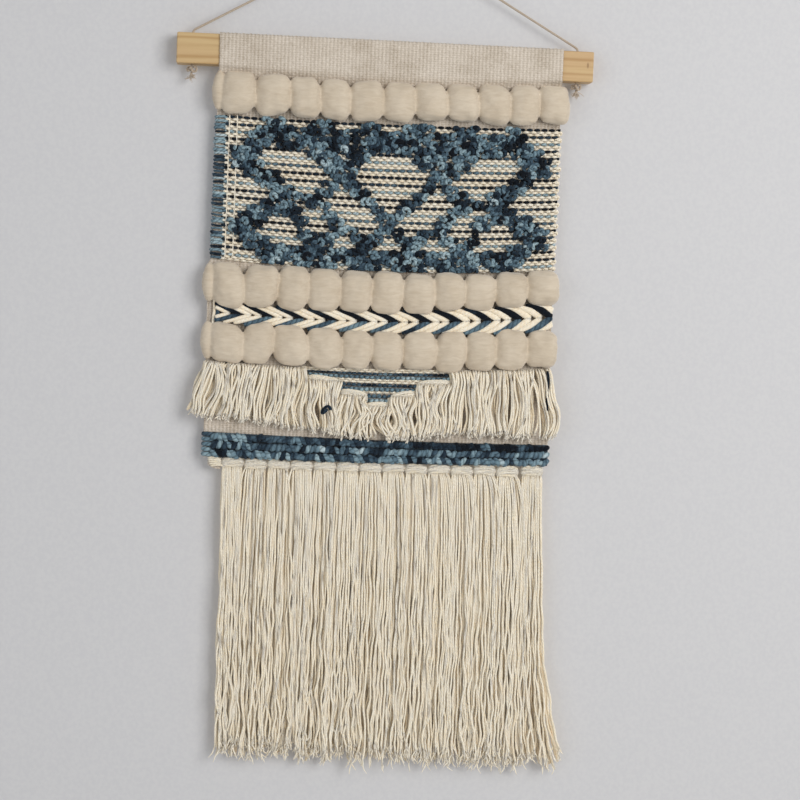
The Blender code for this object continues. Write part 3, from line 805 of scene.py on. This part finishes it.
def make_pattern_wefts():
    """The patterned ground: in each row a blue weft and two cream ones, their beads set like bricks."""
    cream, blue = [], []
    for row in range(PATTERN_ROWS):
        left, right = PANEL_LEFT + 9 * MM, PANEL_RIGHT + 0.4 * MM
        for k in range(3):
            z = PILE_HIGH.z - (row + (k + 0.5) / 3) * PATTERN_PITCH
            phase = 0.5 * ((3 * row + k) % 2)
            swing, middle_y = (2.5 * MM, -1.0 * MM) if k == 0 else (1.8 * MM, -1.4 * MM)
            line = weft_line(z, phase, left, right, swing, middle_y, seed=3 * row + k)
            beat = np.cos(TURN * ((line[:, 0] - PANEL_LEFT) / BEAD_PITCH + phase))
            radius = (1.16 + 0.26 * beat) * MM
            if k == 0:
                tint = (-0.1, 0.15, 1.1, -0.2, 0.0, 1.3, 0.5)[row % 7]
                blue.append(Strand(line, radius * 1.1, tint, 0.36 * row))
            else:
                cream.append(Strand(line, radius, random.Random(3 * row + k).random() * 0.5, row + 0.3 * k))
    return [spin_cotton("cream_ground_wefts", cream), spin_blue("blue_ground_wefts", blue)]


def make_selvedge():
    """Blue turns carried up the left edge, two bare warps beside them, and cream turns on the right edge."""
    turns, warps = [], []
    chance = random.Random(11)
    for row in range(PATTERN_ROWS):
        for half in range(2):
            z = PILE_HIGH.z - (row + 0.28 + 0.5 * half) * PATTERN_PITCH
            inner = PANEL_LEFT + (11.5 + chance.uniform(-1, 1)) * MM
            outer = PANEL_LEFT - chance.uniform(0.2, 1.4) * MM
            sag = chance.uniform(-0.7, 0.7) * MM
            line = [(inner, 1.0 * MM, z), (inner - 1.5 * MM, -1.8 * MM, z),
                    (inner - 4 * MM, -3.2 * MM, z + sag), (outer + 4 * MM, -3.3 * MM, z + sag),
                    (outer + 1.2 * MM, -2.4 * MM, z), (outer, 0, z),
                    (outer + 1.2 * MM, 2.4 * MM, z - 0.8 * MM), (outer + 4 * MM, 2.9 * MM, z - 1.2 * MM),
                    (inner, 2.6 * MM, z - 1.2 * MM)]
            turns.append(Strand(line, (1.45 + chance.uniform(-0.35, 0.35)) * MM, chance.uniform(0.0, 1.3),
                                0.37 * row + 0.9 * half))
    for x in (13.2 * MM, 21.0 * MM):
        zs = np.arange(PILE_HIGH.z + 1 * MM, PILE_LOW.z - 1 * MM, -2.4 * MM)
        line = [(PANEL_LEFT + x + 0.25 * MM * math.sin(900 * z),
                 -2.9 * MM - 0.7 * MM * math.cos(TURN * z / PATTERN_PITCH), z) for z in zs]
        warps.append(Strand(line, 0.75 * MM, 0.2, x * 10))
    spin_blue("selvedge_turns", turns)
    spin_cotton("bare_warps", warps)
    loops = []
    for row in range(PATTERN_ROWS):
        z = PILE_HIGH.z - (row + 0.4) * PATTERN_PITCH
        out = PANEL_RIGHT + chance.uniform(0.6, 2.4) * MM
        line = [(PANEL_RIGHT - 5 * MM, -2.6 * MM, z), (PANEL_RIGHT - 1.5 * MM, -2.6 * MM, z + 0.3 * MM),
                (out, -0.8 * MM, z - 0.4 * MM), (out, 1.2 * MM, z - 2.2 * MM),
                (PANEL_RIGHT - 2 * MM, 2.2 * MM, z - 3.4 * MM),
                (PANEL_RIGHT - 6 * MM, 2.0 * MM, z - 3.6 * MM)]
        loops.append(Strand(smooth_line(line, 12), 1.2 * MM, chance.random() * 0.6, row))
    spin_cotton("selvedge_loops", loops)


def smooth_line(points, count):
    """A rounded line through points, by sampling a smooth curve at even steps."""
    route = smooth_route(points, min(math.dist(a, b) for a, b in zip(points, points[1:])) / 2)
    route = np.array([tuple(p) for p in route])
    return spaced(route, run_along(route), count)


PILE_STEP = 4.5 * MM            # from one loop to the next in a row


def pile_loop(chance, x, z, out):
    """One loop of pile: a thick curl of yarn that leaves the cloth and goes back in beside its start."""
    ring = chance.uniform(2.6, 3.5) * MM
    facing = Vector((chance.uniform(-0.7, 0.7), -1, chance.uniform(-0.9, 0.3))).normalized()
    side = facing.cross(Vector((0, 0, 1))).normalized()
    rise = side.cross(facing)
    begin, sweep = chance.uniform(0, TURN), chance.uniform(0.52, 0.74) * TURN
    centre = Vector((x, FACE_Y - out, z))
    line = []
    for k in range(9):
        angle = begin + sweep * k / 8
        line.append(centre + side * math.cos(angle) * ring + rise * math.sin(angle) * ring * 0.9)
    for end in (0, -1):
        root = line[end] * 0.6 + centre * 0.4
        line.insert(0 if end == 0 else len(line), Vector((root.x, FACE_Y + 0.6 * MM, root.z)))
    return line


def make_pile():
    """The looped trellis, row by row, wherever the frame's pile stands."""
    solid = BVHTree.FromObject(frame["nodes"]["loop_pile"], bpy.context.evaluated_depsgraph_get())
    chance = random.Random(5)
    strands = []
    ball = 0.0
    for row in range(PATTERN_ROWS):
        z = PILE_HIGH.z - (row + 0.5) * PATTERN_PITCH
        x = PILE_LOW.x + (row % 2) * PILE_STEP / 2 - PILE_STEP
        while x < PILE_HIGH.x + PILE_STEP:
            x += PILE_STEP
            if solid.ray_cast(Vector((x, -1, z)), Vector((0, 1, 0)))[0] is None:
                continue
            place = (x + chance.uniform(-1.2, 1.2) * MM, z + chance.uniform(-1.2, 1.6) * MM)
            ball += 13 * MM
            out = chance.uniform(2.2, 6.0) * MM
            # Random tone per loop, spread wider and paler on average the further the loop stands out: painted
            # light by depth.
            strands.append(Strand(pile_loop(chance, *place, out), chance.uniform(1.8, 2.3) * MM,
                                  chance.uniform(-0.25, 1.2) * (0.4 + 0.6 * out / (6 * MM)), ball))
        ball += 0.31
    made = spin_blue("looped_trellis", strands)
    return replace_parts(made, "loop_pile")


# ---------------------------------------------------------------- roving

PUFF_COUNT = 11
PUFF_SQUARENESS = 3.9           # 2 would be an ellipse from the front, and much more a box
FELT_VOXEL = 1.1 * MM


def puff(bm, x, z, half_width, half_height, depth, chance):
    """One rounded puff of roving, set into the row's mesh."""
    made = bmesh.ops.create_icosphere(bm, subdivisions=4, radius=1.0)["verts"]
    lean, belly = chance.uniform(-0.1, 0.1), chance.uniform(-0.12, 0.12)
    seed, tilt = chance.uniform(0, 100), chance.uniform(0.04, 0.16)
    for v in made:
        flat = abs(v.co.x) ** PUFF_SQUARENESS + abs(v.co.z) ** PUFF_SQUARENESS
        square = (flat ** (2 / PUFF_SQUARENESS) + v.co.y ** 2) ** -0.5
        a, b, c = v.co.x * square, v.co.y * square, v.co.z * square
        lump = 1 + 0.08 * noise.noise(Vector((a * 1.2 + seed, b * 1.2, c * 1.2)))
        narrow = 1 - 0.06 * c * c
        v.co = (x + (a * half_width * narrow + lean * c * half_width) * lump,
                FACE_Y - (0.34 + tilt * a) * depth + b * depth * 0.70 * lump,
                z + (c * half_height + belly * half_height * a) * lump)


def clear_of_batten(mesh, lift=35, room=1.6 * MM):
    """Presses the top roving in where the batten's lower front edge would meet it with the cloth lifted."""
    hinge = Vector(JOINT_PLACE["panel"])
    lifted = (Matrix.Translation(hinge) @ Matrix.Rotation(math.radians(-lift), 4, "X")
              @ Matrix.Translation(-hinge))
    for v in mesh.vertices:
        place = lifted @ v.co
        up, inward = place.z - BATTEN_LOW.z + room, place.y - BATTEN_LOW.y + room
        if up > 0 and inward > 0:
            place -= Vector((0, 0, up)) if up < inward else Vector((0, inward, 0))
            v.co = lifted.inverted() @ place


def make_roving(name, fullness):
    """Eleven puffs and the turn round the cloth's left edge, felted together into one soft row."""
    low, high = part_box(name)
    chance = random.Random(name)
    depth = -low.y + FACE_Y + 1.6 * MM
    start, end = PANEL_LEFT + 4.2 * MM, min(high.x, PANEL_RIGHT + 8.5 * MM) - 0.3 * MM
    widths = [chance.uniform(0.93, 1.07) for _ in range(PUFF_COUNT)]
    scale = (end - start) / sum(widths)
    middle, half = (low.z + high.z) / 2, (high.z - low.z) / 2
    bm = bmesh.new()
    x = start
    for width in widths:
        step = width * scale
        tall = half * fullness * chance.uniform(0.94, 1.04)
        place = middle + chance.uniform(-1.2, 1.2) * MM
        if name == "roving_row_top":
            tall = min(tall, high.z - 1.6 * MM - place)
        puff(bm, x + step / 2, place, step / 2 + 0.7 * MM, tall, depth * chance.uniform(0.93, 1.04), chance)
        x += step
    for v in bm.verts:
        v.co.y = min(v.co.y, FACE_Y)
    made = bmesh.ops.create_icosphere(bm, subdivisions=4, radius=1.0)["verts"]
    for v in made:
        v.co = (start - 2.6 * MM + v.co.x * 7.4 * MM, -3.6 * MM + v.co.y * 8.2 * MM,
                middle + v.co.z * half * 0.88)
    lumps = scratch_object(name + "_guide", mesh_from(name + "_lumps", bm))
    felt = lumps.modifiers.new("felt", "REMESH")
    felt.mode = "VOXEL"
    felt.voxel_size = FELT_VOXEL
    soft = lumps.modifiers.new("soften", "SMOOTH")
    soft.factor = 0.5
    soft.iterations = 3
    mesh = evaluated(lumps)
    bpy.data.objects.remove(lumps)
    bm = bmesh.new()
    bm.from_mesh(mesh)
    bm.normal_update()
    for v in bm.verts:
        p = v.co
        wisps = noise.noise(Vector((p.x * 70, p.y * 110, p.z * 330)))
        lumpy = noise.noise(Vector((p.x * 130, p.y * 130, p.z * 130)))
        v.co = p + v.normal * (0.45 * MM * wisps + 0.5 * MM * lumpy)
    bm.to_mesh(mesh)
    bm.free()
    mesh.shade_smooth()
    row = piece(name + "_puffs", mesh, ROVING, "panel")
    if name == "roving_row_top":
        clear_of_batten(row.data)
    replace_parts(row, name)


# ---------------------------------------------------------------- braid, accents and band

BRAID_PERIOD = 31.6 * MM        # from one blue arrowhead to the next, with two cream ones between
BRAID_ARM = 27 * MM


def lens(count, radius, ends):
    """A radius that is full in the middle and narrow at both ends."""
    t = np.linspace(-1, 1, count)
    return radius * (ends + (1 - ends) * np.sqrt(np.clip(1 - t * t, 0, 1)))


def make_braid():
    """Two rows of soumak that lean towards each other, as arrowheads that point to the right."""
    cream, blue = [], []
    middle = (BRAID_TOP + BRAID_BOTTOM) / 2
    chance = random.Random(21)
    for k in range(3 * int(PANEL_WIDTH / BRAID_PERIOD) + 7):
        tip = PANEL_LEFT + (1.1 + chance.uniform(-0.5, 0.5)) * MM + k * BRAID_PERIOD / 3
        for side in (1, -1):
            slope = chance.uniform(0.93, 1.07)
            line = []
            for t in np.linspace(0, 1, 12):
                x = tip - BRAID_ARM * (1 - t) ** 1.1
                z = middle + side * (0.1 * MM + 11.0 * MM * slope * (1 - t))
                y = FACE_Y - 3.6 * MM - 1.7 * MM * math.sin(math.pi * t ** 1.3) - (k % 3 == 0) * 0.7 * MM
                if PANEL_LEFT + 8 * MM < x < PANEL_RIGHT + 1 * MM:
                    line.append((x, y, z))
            if len(line) < 4:
                continue
            if k % 3:
                cream.append(Strand(line, tapered(len(line), 2.6 * MM, 0.85), chance.random() * 0.4, k))
            else:
                blue.append(Strand(line, tapered(len(line), 2.6 * MM, 0.8), (-0.25 if side > 0 else 0.45),
                                   0.41 * k + side))
    for x, radius, wefts in ((7.0, 1.5, cream), (10.6, 1.9, blue)):
        line = [(PANEL_LEFT + x * MM + 0.5 * MM * math.sin(5 * t), FACE_Y - 2.5 * MM,
                 BRAID_TOP + (7 - 29 * t) * MM) for t in np.linspace(0, 1, 12)]
        wefts.append(Strand(line, radius * MM, 0.2, 0.7))
    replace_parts(spin_cotton("soumak_cream_arms", cream, sides=8), "soumak_braid_upper")
    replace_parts(spin_blue("soumak_blue_arms", blue, sides=8), "soumak_braid_lower")


ACCENT_PITCH = 5.2 * MM


def make_accents():
    """Three short blue rows with beaded cream wefts between them, and two stray ends of the blue yarn."""
    for k in range(3):
        name = f"accent_row_{k + 1}"
        low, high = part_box(name)
        strands = []
        for side in (1, -1):
            z = (low.z + high.z) / 2 + 1.6 * side * MM
            line = weft_line(z, 0.25 * side, low.x, high.x, 1.2 * MM, -3.0 * MM, points_per_bead=10,
                             seed=70 + k, pitch=ACCENT_PITCH)
            beat = np.cos(TURN * ((line[:, 0] - PANEL_LEFT) / ACCENT_PITCH + 0.25 * side))
            line[:, 2] += side * 0.5 * MM * beat
            strands.append(Strand(line, (1.4 + 0.75 * beat) * MM, (0.3, 0.75)[side < 0], 0.8 * k + side))
        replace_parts(spin_blue(name + "_weft", strands), name)
    cream = []
    for k, drop in enumerate((-4.6, -2.4, 7.0, 9.6, 19.2)):
        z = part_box("accent_row_1")[1].z - drop * MM
        line = weft_line(z, 0.5 * (k % 2), PANEL_X - 80 * MM, PANEL_X + 82 * MM, 1.5 * MM, -1.8 * MM,
                         seed=90 + k)
        cream.append(Strand(line, 1.35 * MM, 0.2, k))
    spin_cotton("cream_accent_wefts", cream)
    edge = [(PANEL_RIGHT - 4 * MM, FACE_Y - 9.5 * MM, LOWER_ROVING_BOTTOM - 1.5 * MM)]
    edge += [(PANEL_RIGHT - (3.4 - 0.4 * math.sin(t)) * MM, FACE_Y - 11 * MM,
              LOWER_ROVING_BOTTOM - 6.5 * t * MM) for t in range(1, 7)]
    curl = [(-47.0 * MM + 4.4 * MM * math.cos(t), FACE_Y - (11.5 + 0.3 * t) * MM,
             -489 * MM + 3.8 * MM * math.sin(1.3 * t)) for t in np.linspace(0, 5, 14)]
    end = spin_blue("stray_edge_end", [Strand(smooth_line(edge, 20), 1.35 * MM, -0.2, 0.2)], body=None)
    bend_at(end, "short_fringe_11", *TUFT_BEND)
    end = spin_blue("stray_curl", [Strand(curl, 1.6 * MM, 0.1, 0.5)], body=None)
    bend_at(end, "short_fringe_04", *TUFT_BEND)


BAND_ROWS = 3
BAND_STITCH = 4.9 * MM          # from one slanting stitch to the next


def make_band():
    """The blue band: three rows of slanting stitches and, at the left, the turns that carry their yarn."""
    pitch = (BAND_TOP - BAND_BOTTOM) / BAND_ROWS
    left, right = PANEL_LEFT + 9 * MM, PANEL_RIGHT - 0.6 * MM
    strands = []
    chance = random.Random(31)
    for row in range(BAND_ROWS):
        z = BAND_TOP - (row + 0.5) * pitch
        under = [(x, FACE_Y - 1.6 * MM, z) for x in np.linspace(left, right, 60)]
        strands.append(Strand(under, 3.5 * MM, 0.2, 0.9 * row))
        count = int((right - left) / BAND_STITCH)
        for k in range(count):
            share = k / count
            x = left + (right - left) * (k + 0.5) / count
            slant = (1 if chance.random() < (0.8 if row % 2 else 0.3) else -1)
            slant *= math.radians(chance.uniform(15, 65))
            half = chance.uniform(3.8, 5.6) * MM
            lift = chance.uniform(-0.6, 0.6) * MM
            line = [(min(max(x + half * s * math.cos(slant), left), right),
                     FACE_Y - (1.4 + 3.6 * math.sqrt(max(0.0, 1 - s * s)) + chance.uniform(0, 0.3)) * MM,
                     z + lift + half * 0.7 * s * math.sin(slant)) for s in np.linspace(-1, 1, 8)]
            tint = (-0.15 + 1.2 * (1 - share) * chance.random()) if row == 0 else chance.uniform(0.0, 1.0)
            strands.append(Strand(line, lens(8, chance.uniform(2.4, 3.1) * MM, 0.5), tint,
                                  0.37 * row + 0.011 * k))
    for k in range(5):
        z = BAND_TOP - (k + 0.5) * (BAND_TOP - BAND_BOTTOM) / 5
        line = [(left + 2 * MM, 0, z), (left, -2.6 * MM, z),
                (PANEL_LEFT + 4 * MM, -3.4 * MM, z + chance.uniform(-0.4, 0.4) * MM),
                (PANEL_LEFT + 0.5 * MM, -2.2 * MM, z), (PANEL_LEFT - 0.6 * MM, 0.2 * MM, z),
                (PANEL_LEFT + 0.8 * MM, 2.4 * MM, z), (left, 2.6 * MM, z)]
        strands.append(Strand(smooth_line(line, 14), 1.9 * MM, chance.uniform(0.3, 1), 3 + 0.3 * k))
    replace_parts(spin_blue("blue_band_wefts", strands, sides=8), "blue_band_upper", "blue_band_lower")


# ---------------------------------------------------------------- long fringe

TASSEL_COUNT = 14
TASSEL_COLUMNS = 12             # strands side by side, in each layer
TASSEL_LAYERS = 4               # from the front to the back, where the strands are thick and fill the gaps
TASSEL_POINTS = 44
KNOT_WRAPS = 9


def make_knot(number):
    """A lark's-head knot: the folded strands lie over the cloth's edge as a flat pillow of wraps."""
    name = f"tassel_knot_{number:02d}"
    low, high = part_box(name)
    chance = random.Random(name)
    middle = (low.x + high.x) / 2 + (number == TASSEL_COUNT) * 2 * MM
    half = (high.x - low.x) / 2 - 0.2 * MM
    strands = []
    tilt, bow = chance.uniform(-0.7, 0.7) * MM, chance.uniform(0.5, 1.3) * MM
    rise = chance.uniform(-0.4, 1.0) * MM
    for k in range(KNOT_WRAPS):
        share = (k + 0.5) / KNOT_WRAPS
        tuck = chance.uniform(-0.25, 0.25) * MM
        line = []
        for s in np.linspace(-1, 1, 13):
            line.append((middle + half * s * (1 - 0.08 * abs(2 * share - 1)),
                         -(3.4 + 2.4 * math.sin(math.pi * share)) * MM * (1 - 0.45 * abs(s) ** 4) + tuck,
                         high.z - 0.6 * MM + rise - 9.6 * MM * share + bow * (1 - s * s)
                         - (1.6 * (1 - share)) * MM * abs(s) ** 5 + tilt * s + tuck
                         + 0.35 * MM * math.sin(3 * s + 2 * k + number)))
        strands.append(Strand(line, chance.uniform(0.95, 1.2) * MM, chance.random() * 0.4, k))
    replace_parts(spin_cotton(name + "_bundle", strands), name)


def ripple(chance, t, length, waves):
    """A sum of slow waves along a strand, each a wavelength and a size, nothing at its top."""
    total = np.zeros(len(t))
    for wavelength, size in waves:
        phase, stretch = chance.uniform(0, TURN), chance.uniform(0.8, 1.25)
        turns = t * length / (wavelength * MM * stretch)
        total += size * MM * (np.sin(TURN * turns + phase) - math.sin(phase))
    return total


def frayed(chance, line, count, reach, tint, start):
    """The plies of a strand's end, spread like a brush."""
    ahead = line[-1] - line[-3]
    ahead = ahead / np.linalg.norm(ahead) * 0.6 - np.array((0, 0, 0.4))
    plies = []
    for k in range(count):
        spread = np.array((chance.uniform(-0.42, 0.42), chance.uniform(-0.3, 0.3), chance.uniform(-0.1, 0.2)))
        long, curl = reach * chance.uniform(0.5, 1.4), chance.uniform(-0.08, 0.08)
        fray = [line[-2] + (ahead * u + spread * u * u + np.array((curl * math.sin(7 * u + k), 0, 0))) * long
                for u in np.linspace(0, 1, 7)]
        plies.append(Strand(fray, tapered(7, 0.7 * MM, 0.5, 2), tint, start))
    return plies


def make_tassel(number):
    """One tassel of the long fringe: locks of strands that sway together, strays over them, frayed feet."""
    name = f"tassel_{number:02d}"
    low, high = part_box(name)
    knot_low, knot_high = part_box(f"tassel_knot_{number:02d}")
    chance = random.Random(name)
    rank = (number - 1) / (TASSEL_COUNT - 1)
    last = number == TASSEL_COUNT
    t = np.linspace(0, 1, TASSEL_POINTS)
    strands = []
    length = knot_low.z - low.z
    swell = (0.12 + t ** 1.1)
    locks = [[ripple(chance, t, length, ((120, 0.8), (62, 0.55), (34, 0.35))) * swell for _ in range(2)]
             for _ in range(3)]
    edges = sorted(chance.uniform(0.2, 0.8) for _ in range(2))
    foot_left = low.x + (8 if number == 1 else -1.6) * MM
    foot_right = high.x + (-4 if last else 1.6) * MM
    shift = last * 2.5 * MM
    for layer in range(TASSEL_LAYERS):
        for k in range(TASSEL_COLUMNS):
            across = (k + 0.5 + 0.5 * (layer % 2) + chance.uniform(-0.2, 0.2)) / (TASSEL_COLUMNS + 0.5)
            deep = layer / (TASSEL_LAYERS - 1) * 2 - 1
            stray = layer == 0 and chance.random() < 0.22
            top = np.array((knot_low.x + 1.2 * MM + (knot_high.x - knot_low.x - 2.4 * MM) * across + shift,
                            deep * 3.2 * MM, knot_low.z + 6.0 * MM))
            foot_z = low.z - (5 + 7 * rank) * MM + chance.gauss(3.0, 5.0) * MM
            foot_z += (chance.random() < 0.08) * chance.uniform(5, 22) * MM
            foot = np.array((foot_left + (foot_right - foot_left) * across + chance.gauss(0, 0.7) * MM,
                             deep * 4.2 * MM + chance.uniform(-0.8, 0.8) * MM, foot_z))
            if stray:
                foot[0] += chance.uniform(-8, 8) * MM
                foot[1] -= 1.2 * MM
            ease = (t + 0.5 * np.sin(math.pi * t ** 0.55) * (1 < number < TASSEL_COUNT))[:, None]
            line = top + (foot - top) * np.hstack((ease, t[:, None], t[:, None]))
            lock = locks[sum(across > edge for edge in edges)]
            own = ((60, 0.9), (24, 0.5)) if not stray else ((70, 1.8), (30, 0.8))
            for axis in (0, 1):
                line[:, axis] += lock[axis] * (1 if axis == 0 else 0.6)
                line[:, axis] += ripple(chance, t, length, own) * (0.12 + 0.9 * t) * (1 if axis == 0 else 0.7)
            if last:
                line[:, 0] += 23 * MM * across ** 2 * t ** 5
            radius = (chance.uniform(0.98, 1.18) if layer < 2 else 1.25 if layer < 3 else 2.2) * MM
            # Random tone, plus painted shade that grows with each layer further back; the frays take half of
            # it.
            tint, start = chance.random() * 0.5 + 0.3 * layer, k + 20 * layer + 100 * number
            strands.append(Strand(line, tapered(TASSEL_POINTS, radius, 0.6, 1), tint, start))
            if layer < 3:
                strands += frayed(chance, line, 2, 12 * MM, tint * 0.5, start)
    made = spin_cotton(name + "_strands", strands, body=None)
    bend_at(made, name, *TASSEL_BEND)
    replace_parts(made, name)


# ---------------------------------------------------------------- short fringe

TUFT_EDGES = [-0.1745, -0.1442, -0.1083, -0.0725, -0.0390, -0.0120,
              0.0120, 0.0390, 0.0725, 0.1083, 0.1442, 0.1715]     # from the panel's middle
TUFT_COUNT = len(TUFT_EDGES) - 1
LOCK_STRANDS = 22
FRINGE_OUTER = 3                # tufts at each side whose knots lie under the roving
FRINGE_RANKS = [-1, -0.45, 0, 0.25, 0.47, 0.7, 0.93, 1.0]         # from the left side to the right side
FRINGE_LIFT = [14, 5, -2, 0, 5, 3, 1, 9]                          # millimetres its feet end above the lowest


def make_tuft(number):
    """One step of the short fringe: a rya knot, and locks of strands that curl out from under it."""
    name = f"short_fringe_{number:02d}"
    low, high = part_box(name)
    chance = random.Random(name)
    left, right = (PANEL_X + x for x in TUFT_EDGES[number - 1:number + 1])
    strands = []
    outer = number <= FRINGE_OUTER or number > TUFT_COUNT - FRINGE_OUTER
    if not outer:
        middle, half = (left + right) / 2, (right - left) / 2 + 0.5 * MM
        for k in range(6):
            wander = chance.uniform(-0.6, 0.6) * MM
            slope = math.copysign(min(1.0, abs(middle - PANEL_X) / (30 * MM)), middle - PANEL_X) * 2.0 * MM
            crown = (3.0 + 2.4 * math.sin(math.pi * (k + 0.5) / 6)) * MM
            line = [(middle + half * s, FACE_Y - crown * (1 - 0.4 * s ** 4),
                     high.z - (0.6 + 1.25 * k) * MM - (2.6 - 0.3 * k) * MM * abs(s) ** 3
                     + wander * math.sin(2 * s + k) + slope * s)
                    for s in np.linspace(-1, 1, 13)]
            strands.append(Strand(line, chance.uniform(0.95, 1.2) * MM, chance.random() * 0.3, k))
    locks = max(2, round((right - left) / (11 * MM)))
    t = np.linspace(0, 1, 17)
    for lock in range(locks):
        x0 = left + (right - left) * lock / locks
        x1 = left + (right - left) * (lock + 1) / locks
        rank = ((x0 + x1) / 2 - PANEL_X) / (PANEL_WIDTH / 2)
        sweep = (-17 * max(0, -rank) ** 3 + 4 * max(0, rank) ** 3 - 2.5 * (abs(rank) < 0.75)) * MM
        sweep += chance.gauss(0, 2.8 if outer else 4.5) * MM
        bend, twirl = chance.gauss(0, 4.8) * MM, chance.uniform(-2.4, 2.4) * MM
        foot_lift = float(np.interp(rank, FRINGE_RANKS, FRINGE_LIFT))
        for j in range(LOCK_STRANDS):
            layer = j * 4 // LOCK_STRANDS
            loose = layer > 1 and chance.random() < 0.35
            across = ((j * 0.618) % 1 + chance.uniform(-0.06, 0.06))
            start = np.array((x0 + (x1 - x0) * across, FACE_Y - (1.3 + 1.5 * layer) * MM,
                              high.z + (2.0 if outer else -4.0) * MM))
            drift = sweep + chance.gauss(0, 4.5 if loose else 1.3) * MM
            foot_z = low.z + (foot_lift + chance.uniform(-2, 5) + (3 - layer) * 0.8) * MM
            end = np.array((start[0] + drift, FACE_Y - (1.6 + 1.9 * layer + chance.uniform(-0.6, 1.6)) * MM,
                            foot_z))
            line = start + (end - start) * t[:, None]
            line[:, 1] -= (2.0 + 0.9 * layer) * MM * np.sin(math.pi * t ** 0.6)
            own = bend + chance.gauss(0, 4.5 if loose else 1.6) * MM
            line[:, 0] += own * np.sin(math.pi * t) * t ** 0.4
            line[:, 0] += twirl * np.sin(TURN * t * 1.3 + lock)
            line[:, 0] += chance.uniform(-1, 1) * MM * np.sin(TURN * t * 2 + j)
            line[:, 2] += 0.8 * MM * chance.uniform(-1, 1) * np.sin(TURN * t * 1.2 + 2 * j) * t
            line[:, 1] = np.minimum(line[:, 1], FACE_Y - 1.2 * MM)
            # Random tone, plus painted shade that grows with each layer nearer the cloth; the frays take less
            # of it.
            tint = chance.random() * 0.4 + (3 - layer) * 0.25
            radius = (chance.uniform(0.96, 1.16) if layer else 2.0) * MM
            strands.append(Strand(line, tapered(17, radius, 0.6, 1), tint, j + 9 * lock))
            if layer > 1:
                strands += frayed(chance, line, 2, 5 * MM, tint * 0.4, j)
    made = spin_cotton(name + "_strands", strands, body=None)
    bend_at(made, name, *TUFT_BEND)
    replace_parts(made, name)


# ---------------------------------------------------------------- room

def stage_plane(name, size, place, look):
    """A large flat plane that belongs to the room."""
    bm = bmesh.new()
    bmesh.ops.create_grid(bm, x_segments=1, y_segments=1, size=size, matrix=place)
    plane = scratch_object(name, mesh_from(name, bm))
    plane.data.materials.append(look)


def make_room():
    """The wall close behind the hanging, and the floor below it."""
    upright = Matrix.Rotation(math.radians(90), 4, "X")
    stage_plane("wall", 3.0, Matrix.Translation((0, SLEEVE_HIGH.y + 1.2 * MM, 0)) @ upright, wall_look())
    stage_plane("floor", 4.0, Matrix.Translation((0, 0, -1.6)), floor_look())


def softbox(name, place, aim, size, power, colour):
    """A rectangular light that faces its aim."""
    data = bpy.data.lights.new(name, "AREA")
    data.shape = "RECTANGLE"
    data.size, data.size_y = size
    data.energy = power
    data.color = colour
    light = scratch_object(name, data)
    towards = Vector(aim) - Vector(place)
    light.matrix_world = Matrix.Translation(place) @ towards.to_track_quat("-Z", "Y").to_matrix().to_4x4()


def make_light():
    """Soft daylight from the right of the room, a weaker fill from its left, and a dim light behind."""
    world = bpy.data.worlds.new("room")
    world.use_nodes = True
    world.node_tree.nodes["Background"].inputs["Color"].default_value = (0.97, 0.98, 1.0, 1)
    world.node_tree.nodes["Background"].inputs["Strength"].default_value = 0.37
    bpy.context.scene.world = world
    softbox("key_window", (1.35, -2.1, 0.2), (0, 0, -0.5), (1.4, 1.4), 39, (1.0, 0.985, 0.97))
    softbox("fill_room", (-1.8, -2.2, -0.3), (0, 0, -0.5), (2.0, 2.0), 15, (0.97, 0.98, 1.0))
    softbox("rear_room", (1.4, 2.2, 0.4), (0, 0, -0.5), (2.0, 2.0), 34, (1.0, 0.99, 0.98))
    bpy.context.scene.view_settings.view_transform = "Standard"
    bpy.context.scene.view_settings.look = "None"


# ---------------------------------------------------------------- the hanging, from the top down

set_camera()
make_cord()
finish_cad("batten", PINE)
for hole in ("cord_in_hole_left", "cord_in_hole_right"):
    finish_cad(hole, CORD)
make_sleeve()
panel_cloth = make_panel()
with_panel = [make_tab()]
with_panel += make_pattern_wefts()
make_selvedge()
make_pile()
for row_name, fullness in (("roving_row_top", 1.0), ("roving_row_middle", 0.98), ("roving_row_lower", 0.96)):
    make_roving(row_name, fullness)
make_braid()
make_accents()
make_band()
for tassel in range(1, TASSEL_COUNT + 1):
    make_knot(tassel)
    make_tassel(tassel)
for tuft in range(1, TUFT_COUNT + 1):
    make_tuft(tuft)
make_room()
make_light()
